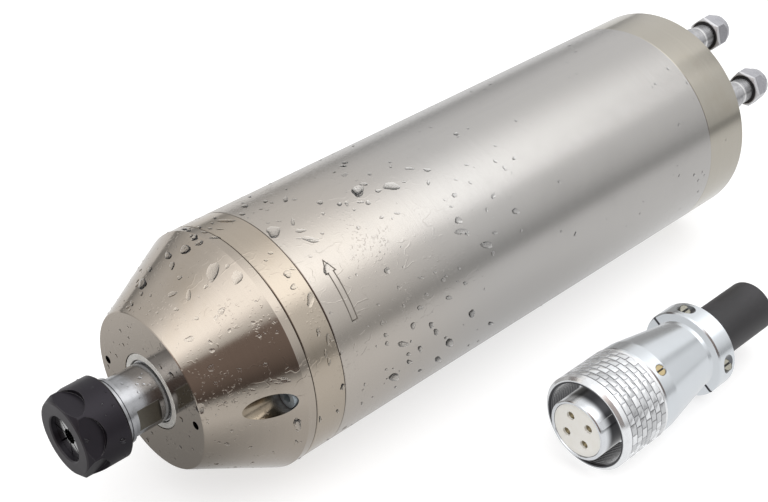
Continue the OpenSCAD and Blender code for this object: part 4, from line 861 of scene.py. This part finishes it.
# station along X, angle round it from +Y towards the top, length, width, turn of the
# long axis
bodyBeads = [
    (-163.9, 160, 4.2, 2.6, 103), (-160.5, 70, 3.6, 1.2, 120), (-157.2, 120, 3.2, 2, 25),
    (-157.2, 191, 2.5, 1.1, 54), (-156.4, 72, 2.6, 1.2, 112), (-156.3, 161, 1.4, 0.7, 29),
    (-156.1, 140, 2.7, 2, 122), (-155.7, 80, 1.4, 0.9, 109), (-153.5, 162, 1.7, 0.7, 28),
    (-153.2, 132, 1.9, 1.6, 16), (-152.8, 66, 7.5, 3.2, 110), (-151.5, 92, 3, 2.2, 46),
    (-151.5, 113, 1.7, 1.4, 16), (-148.4, 100, 4.8, 1.6, 127), (-146.9, 159, 2.7, 0.9, 28),
    (-146.8, 63, 4.5, 1.5, 112), (-145.8, 88, 2.1, 1.7, 64), (-145.4, 128, 1.5, 1.2, 140),
    (-144, 118, 2.5, 2.2, 172), (-143.5, 78, 4.3, 1.9, 119), (-140.7, 70, 5.1, 2.4, 103),
    (-140.3, 150, 1.6, 1.6, 92), (-138.5, 160, 2.7, 0.9, 28), (-138.2, 137, 1.8, 1.3, 21),
    (-137.8, 100, 7.5, 4.3, 129), (-136.7, 78, 5.6, 3.5, 107), (-136.6, 159, 3.4, 1.6, 29),
    (-136, 160, 3.4, 1.8, 31), (-134.4, 184, 6.4, 2.3, 81), (-134.3, 188, 1.7, 0.7, 41),
    (-134.2, 183, 4, 2, 74), (-133.9, 196, 2.4, 0.8, 61), (-133.5, 110, 5.2, 3.6, 135),
    (-133.4, 103, 1.7, 1.6, 172), (-132.8, 139, 1.4, 1.2, 135), (-132.7, 82, 3.2, 2, 62),
    (-132.7, 83, 3.3, 1.9, 58), (-132.2, 135, 1.8, 0.7, 25), (-131.8, 78, 3.5, 2.3, 88),
    (-131.6, 78, 3.3, 2.2, 96), (-131.5, 75, 2.2, 1.3, 103), (-129.4, 70, 3.7, 1.7, 107),
    (-128.6, 65, 5.7, 1.9, 109), (-128, 86, 3.8, 1.4, 49), (-127.6, 79, 2.9, 1.7, 70),
    (-127.6, 86, 4.1, 1.7, 50), (-125.7, 72, 3.3, 1.4, 114), (-125.1, 186, 3, 1, 81),
    (-125, 187, 3.6, 1.2, 80), (-124.5, 78, 2.1, 1.4, 99), (-122.7, 82, 3.1, 1.2, 55),
    (-122, 89, 3.3, 1.5, 46), (-121.8, 89, 3, 1.6, 47), (-121, 74, 2.1, 1.2, 105),
    (-120.6, 110, 1.5, 1.2, 5), (-118.3, 126, 2.7, 2.3, 163), (-118.3, 157, 3.3, 1.5, 108),
    (-118.2, 148, 2.2, 1.5, 117), (-118, 147, 2.7, 1.6, 117), (-117.9, 161, 2.9, 1.8, 102),
    (-117.3, 70, 3, 1.5, 103), (-117.2, 120, 3.8, 2.8, 140), (-117.1, 78, 7.5, 2.8, 62),
    (-117.1, 108, 2.1, 1.5, 21), (-116.4, 188, 2.6, 1.2, 54), (-116.1, 189, 1.8, 0.8, 57),
    (-115.5, 152, 4.8, 1.6, 113), (-115.1, 134, 5.8, 3, 126), (-114.3, 119, 2.7, 1.1, 26),
    (-114.1, 153, 1.9, 1.3, 28), (-113.8, 90, 3.8, 1.8, 44), (-113.8, 176, 3.2, 2, 66),
    (-113.7, 176, 3, 1.6, 83), (-110.1, 79, 3, 2.1, 94), (-110.1, 143, 1.5, 1, 22),
    (-109.2, 99, 6.4, 5.4, 142), (-107.5, 93, 1.5, 0.8, 40), (-105, 118, 1.5, 0.9, 22),
    (-104.7, 73, 4.4, 2.3, 106), (-103.8, 95, 1.9, 0.8, 38), (-103.6, 108, 2.2, 0.8, 29),
    (-103.2, 194, 3, 1, 68), (-103, 182, 2.3, 0.9, 81), (-102.6, 68, 2.6, 1.1, 109),
    (-102.4, 126, 5.2, 2.8, 130), (-102.4, 151, 2.4, 0.8, 25), (-102.1, 85, 1.6, 1, 55),
    (-100.6, 110, 5.4, 1.8, 30), (-100.5, 105, 3.9, 2.1, 29), (-99.9, 99, 4.2, 1.4, 131),
    (-99.5, 112, 5.7, 1.9, 28), (-98.1, 78, 2.7, 1.7, 113), (-97.7, 194, 1.7, 0.7, 40),
    (-97.2, 156, 1.4, 0.7, 27), (-96.6, 64, 4.2, 1.4, 114), (-95.1, 90, 6.9, 4.3, 44),
    (-94.3, 111, 1.5, 1.2, 13), (-92.3, 84, 4.8, 1.6, 129), (-92, 181, 2.1, 0.9, 39),
    (-91.2, 187, 1.6, 0.7, 48), (-90.8, 158, 1.8, 1.6, 50), (-90.6, 168, 2.3, 1.7, 62),
    (-90.4, 164, 2.4, 1.7, 40), (-90, 87, 2.6, 1.7, 50), (-88.2, 183, 1.7, 0.7, 42),
    (-87.2, 189, 7.5, 3.6, 49), (-86.4, 76, 1.9, 1.1, 115), (-84.7, 198, 2.7, 0.9, 59),
    (-84.6, 187, 1.4, 0.7, 47), (-84.2, 96, 2.7, 2.5, 7), (-82.8, 173, 6.6, 2.2, 29),
    (-80.3, 180, 3.1, 1.4, 41), (-79.9, 139, 3, 2.5, 141), (-79.6, 139, 1.4, 1, 17),
    (-79.6, 185, 4.1, 1.9, 47), (-78.9, 102, 2.2, 1.7, 145), (-78.8, 102, 2, 1.8, 4),
    (-78.7, 174, 1.7, 1.1, 61), (-76.8, 167, 3.2, 2.5, 65), (-76.6, 104, 1.4, 1.1, 148),
    (-76.1, 103, 1.8, 1.5, 172), (-76, 108, 1.4, 1.1, 159), (-74.1, 181, 3.9, 2.1, 64),
    (-72.5, 141, 1.4, 1, 18), (-71.7, 161, 3.3, 1.8, 29), (-71.5, 197, 4.5, 1.5, 48),
    (-71.2, 106, 3, 1.3, 29), (-68.9, 108, 2.5, 1.9, 151), (-68.5, 100, 4.8, 3.9, 149),
    (-67.8, 100, 6.8, 4.9, 141), (-67.7, 172, 3.5, 2.3, 54), (-67.1, 157, 2.2, 1.1, 26),
    (-67, 149, 3, 1, 24), (-66.6, 90, 3.6, 2.1, 44), (-66.4, 90, 3.8, 2.4, 43),
    (-65.4, 177, 3.8, 2.3, 53), (-64.5, 87, 3.2, 2.7, 122), (-63.4, 98, 3, 2.3, 26),
    (-61.8, 119, 3.3, 1.1, 26), (-61.6, 197, 7.5, 2.5, 54), (-61.2, 105, 2.6, 1.8, 22),
    (-60.1, 80, 2.9, 1.6, 64), (-60, 150, 1.9, 0.9, 24), (-59.8, 80, 3, 1.8, 65),
    (-59.7, 184, 2.5, 1.2, 46), (-57.5, 78, 3, 1.5, 68), (-57.5, 78, 3.1, 1.7, 68),
    (-57.4, 155, 2.6, 1.5, 26), (-57, 94, 2.2, 1.7, 139), (-57, 189, 7.5, 3.2, 58),
    (-56.9, 164, 3.5, 1.7, 29), (-55.6, 154, 2, 1, 25), (-55, 106, 6.8, 4.3, 23),
    (-51.3, 90, 3.8, 2.3, 43), (-51, 159, 1.8, 0.7, 26), (-49, 107, 1.9, 1, 26),
    (-48.3, 154, 1.7, 1, 25), (-47.3, 96, 1.5, 1, 139), (-47.2, 162, 2.5, 1.5, 30),
    (-45.4, 179, 5.2, 3, 57), (-45.2, 93, 1.6, 1.5, 158), (-41.8, 102, 4.4, 1.5, 31),
    (-40.5, 113, 2.4, 1.4, 141), (-40.5, 140, 6.7, 2.5, 22), (-39.4, 135, 3.7, 2.8, 6),
    (-38.9, 128, 2.1, 0.8, 22), (-38.6, 142, 2.1, 1.5, 16), (-37.2, 88, 2.8, 1.7, 133),
    (-36.3, 107, 3.2, 1.9, 23), (-34.3, 124, 2.7, 1.9, 8), (-32.1, 194, 5.4, 1.8, 39),
    (-31.5, 151, 6, 3, 23), (-29.9, 156, 2.1, 2, 54), (-29, 118, 1.9, 0.7, 24),
    (-25.6, 148, 2.9, 1.4, 22), (-19.6, 114, 2, 1, 22), (-18.3, 133, 2.3, 1.8, 171),
    (-11.5, 144, 4, 2.4, 19), (-10.4, 96, 2.7, 1.9, 144), (-5.3, 125, 1.8, 0.7, 22),
    (1.9, 122, 2, 1.5, 170),
]


def aboutAxis(x, radius, angle):
    return Vector((x, radius * math.cos(angle), radius * math.sin(angle)))


def bodyPoint(x, angle, high):
    # a point above the cone or the straight body
    if x < water["coneX"]:
        rise = water["bodyRadius"] - water["faceRadius"]
        slope = math.atan2(rise, water["coneX"] - water["noseX"])
        radius = water["bodyRadius"] + (x - water["coneX"]) * math.tan(slope)
        return aboutAxis(x - high * math.sin(slope), radius + high * math.cos(slope), angle)
    return aboutAxis(x, water["bodyRadius"] + high, angle)


def facePoint(radius, angle, high):
    # a point in front of the flat nose face
    return aboutAxis(water["noseX"] - high, radius, angle)


def roundPoint(radius):
    # a point above a plain cylinder on the spindle's axis
    def place(x, angle, high):
        return aboutAxis(x, radius + high, angle)
    return place


def addBead(form, place, start, angle, length, width, turn, high, chance):
    # a low dome with an uneven outline
    around, rings = (16, 5) if length > water["small"] else (9, 3)
    uneven = 0.16 if length > 1.6 else 0.06
    twist = [chance.uniform(0, 2 * math.pi) for k in range(3)]
    arc = place(start, angle, 0).yz.length
    c, s = math.cos(turn), math.sin(turn)

    def corner(share, phi):
        edge = 1 + uneven * (
            0.5 * math.cos(2 * phi + twist[0]) + 0.6 * math.cos(3 * phi + twist[1])
            + 0.3 * math.cos(5 * phi + twist[2]))
        u = length / 2 * share * edge * math.cos(phi)
        v = width / 2 * share * edge * math.sin(phi)
        up = high * (1 - share ** 2.4) - water["sunk"]
        return place(start + u * c - v * s, angle + (u * s + v * c) / arc, up) * mm

    top = form.verts.new(corner(0, 0))
    last = None
    for ring in range(1, rings + 1):
        share = math.sin(ring / rings * math.pi / 2)
        here = [form.verts.new(corner(share, 2 * math.pi * k / around))
                for k in range(around)]
        for k in range(around):
            after = (k + 1) % around
            if last is None:
                form.faces.new((top, here[k], here[after]))
            else:
                form.faces.new((last[k], here[k], here[after], last[after]))
        last = here


def makePiece(name, form, body):
    bmesh.ops.recalc_face_normals(form, faces=form.faces)
    mesh = bpy.data.meshes.new(name)
    form.to_mesh(mesh)
    form.free()
    for face in mesh.polygons:
        face.use_smooth = True
    mesh.materials.append(waterClear)
    piece = bpy.data.objects.new(name, mesh)
    scene.collection.objects.link(piece)
    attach(piece, body)


def roomAbove(angle):
    # how far a bead on the straight body may stand up inside the body's own box
    reach = max(abs(math.sin(angle)), math.cos(angle))
    return water["bodyRadius"] / reach - water["bodyRadius"] - water["slack"]


# kept free of fine beads, in millimetres: the two screw pockets in the cone's side, and
# the two holes for a pin wrench in the nose face
openPockets = {"halfWidth": 6.2, "front": -154}
wrenchHoles = {"angle": 177, "radius": 27.7, "clear": 3.4}


def fromNearest(angle, degrees):
    # turn from the nearer one of two opposite features
    return math.remainder(angle - math.radians(degrees), math.pi)


def overPocket(x, angle):
    side = abs(fromNearest(angle, pockets["angle"])) * water["bodyRadius"]
    return side < openPockets["halfWidth"] and openPockets["front"] < x < water["coneX"]


def overHole(radius, angle):
    turn = fromNearest(angle, wrenchHoles["angle"])
    side = turn * wrenchHoles["radius"]
    return math.hypot(side, radius - wrenchHoles["radius"]) < wrenchHoles["clear"]


def keepInside(form):
    # beads on top, beneath and on the far side are flattened to the body's own box
    limit = (water["bodyRadius"] - water["slack"]) * mm
    for corner in form.verts:
        corner.co.y = min(corner.co.y, limit)
        corner.co.z = max(-limit, min(corner.co.z, limit))


def waterLook():
    look = Look("Water")
    x, y, z = look.place()
    ripple = look.noise(x, y, z, scale=900)
    return look.surface({
        "Base Color": (0.98, 0.99, 1.0), "Transmission Weight": 1.0, "IOR": 1.33,
        "Roughness": ripple * 0.03,
        "Normal": look.bump(ripple, distance=0.04 * mm, strength=0.4),
    })


def addRows(form, place, rows, tall, chance):
    for x, angle, length, width, turn in rows:
        addBead(form, place, x, math.radians(angle), length, width, math.radians(turn),
                width * tall, chance)


def makeBodyBeads():
    chance = random.Random(water["seed"])
    form = bmesh.new()
    for x, angle, length, width, turn in bodyBeads:
        angle = math.radians(angle)
        high = min(width * water["tall"], water["tallest"])
        if x > water["coneX"]:
            high = min(high, roomAbove(angle))
        if high > water["lowest"]:
            addBead(form, bodyPoint, x, angle, length, width, math.radians(turn), high,
                    chance)
    front, back = spray["ends"]
    for k in range(spray["count"]):
        x = front + (back - front) * chance.random() ** spray["crowding"]
        angle = chance.uniform(0, 2 * math.pi)
        width = spray["width"] + spray["widthSpread"] * chance.random() ** 4
        high = width * water["tall"]
        tooHigh = x > water["coneX"] - 1 and high > roomAbove(angle)
        if not tooHigh and not overPocket(x, angle):
            addBead(form, bodyPoint, x, angle, width * chance.uniform(1, 1.7), width,
                    chance.uniform(0, math.pi), high, chance)
    keepInside(form)
    makePiece("beads_on_body", form, "housing")


faceSpray = {"count": 64, "width": 0.45, "widthSpread": 1.5, "radii": (17.5, 30.5)}
neckBeads = [
    (-170.5, 118, 1.7, 0.9, 30), (-172.4, 112, 1.3, 0.9, 40), (-168.9, 124, 1.4, 0.8, 10),
    (-173.8, 126, 1.1, 0.8, 80), (-170.0, 104, 1.6, 1.0, 50), (-175.5, 108, 1.0, 0.7, 20),
    (-168.4, 98, 1.0, 0.8, 0), (-176.6, 97, 1.2, 0.8, 60), (-167.8, 132, 1.5, 0.7, 15),
    (-174.2, 137, 1.2, 0.6, 30), (-169.5, 250, 1.3, 0.9, 30), (-175.8, 20, 1.2, 0.8, 70),
    (-172.7, 320, 1.5, 0.9, 10), (-170.1, 60, 1.1, 0.8, 40),
]
nutBeads = [
    (-187.9, 175, 2.7, 2.2, 60), (-189.3, 120, 1.3, 1.0, 20), (-186.2, 128, 1.2, 0.9, 40),
    (-190.4, 134, 1.0, 0.8, 10), (-185.6, 108, 0.9, 0.8, 30), (-188.0, 93, 1.2, 0.9, 50),
    (-187.2, 205, 1.3, 1.0, 40), (-186.4, 40, 1.4, 1.0, 20), (-188.6, 300, 1.2, 0.9, 70),
]
# the nose end's radii, and the one bead on a flat of the nut
nose = {
    "neckRadius": 12.0, "nutRadius": 16.45, "nutTall": 0.38,
    "flatRadius": 14.49, "flatX": -199.8, "flatAngle": 151.5,
    "flatLength": 2.3, "flatWidth": 1.9, "flatTurn": 0.5, "flatHigh": 0.75,
}


def makeNoseBeads():
    # on the nose face, the polished neck and the black nut
    chance = random.Random(water["seed"] + 1)
    face = bmesh.new()
    for k in range(faceSpray["count"]):
        width = faceSpray["width"] + faceSpray["widthSpread"] * chance.random() ** 3
        radius = chance.uniform(*faceSpray["radii"])
        angle = chance.uniform(0, 2 * math.pi)
        if not overHole(radius, angle):
            addBead(face, facePoint, radius, angle, width * chance.uniform(1, 1.6), width,
                    chance.uniform(0, math.pi), width * water["tall"], chance)
    makePiece("beads_on_face", face, "housing")
    neckForm = bmesh.new()
    addRows(neckForm, roundPoint(nose["neckRadius"]), neckBeads, water["tall"], chance)
    makePiece("beads_on_neck", neckForm, "rotor")
    nut = bmesh.new()
    addRows(nut, roundPoint(nose["nutRadius"]), nutBeads, nose["nutTall"], chance)
    addBead(nut, roundPoint(nose["flatRadius"]), nose["flatX"],
            math.radians(nose["flatAngle"]), nose["flatLength"], nose["flatWidth"],
            nose["flatTurn"], nose["flatHigh"], chance)
    makePiece("beads_on_nut", nut, "clamping_nut")


waterClear = waterLook()
makeBodyBeads()
makeNoseBeads()
print("water: beads set on the spindle")
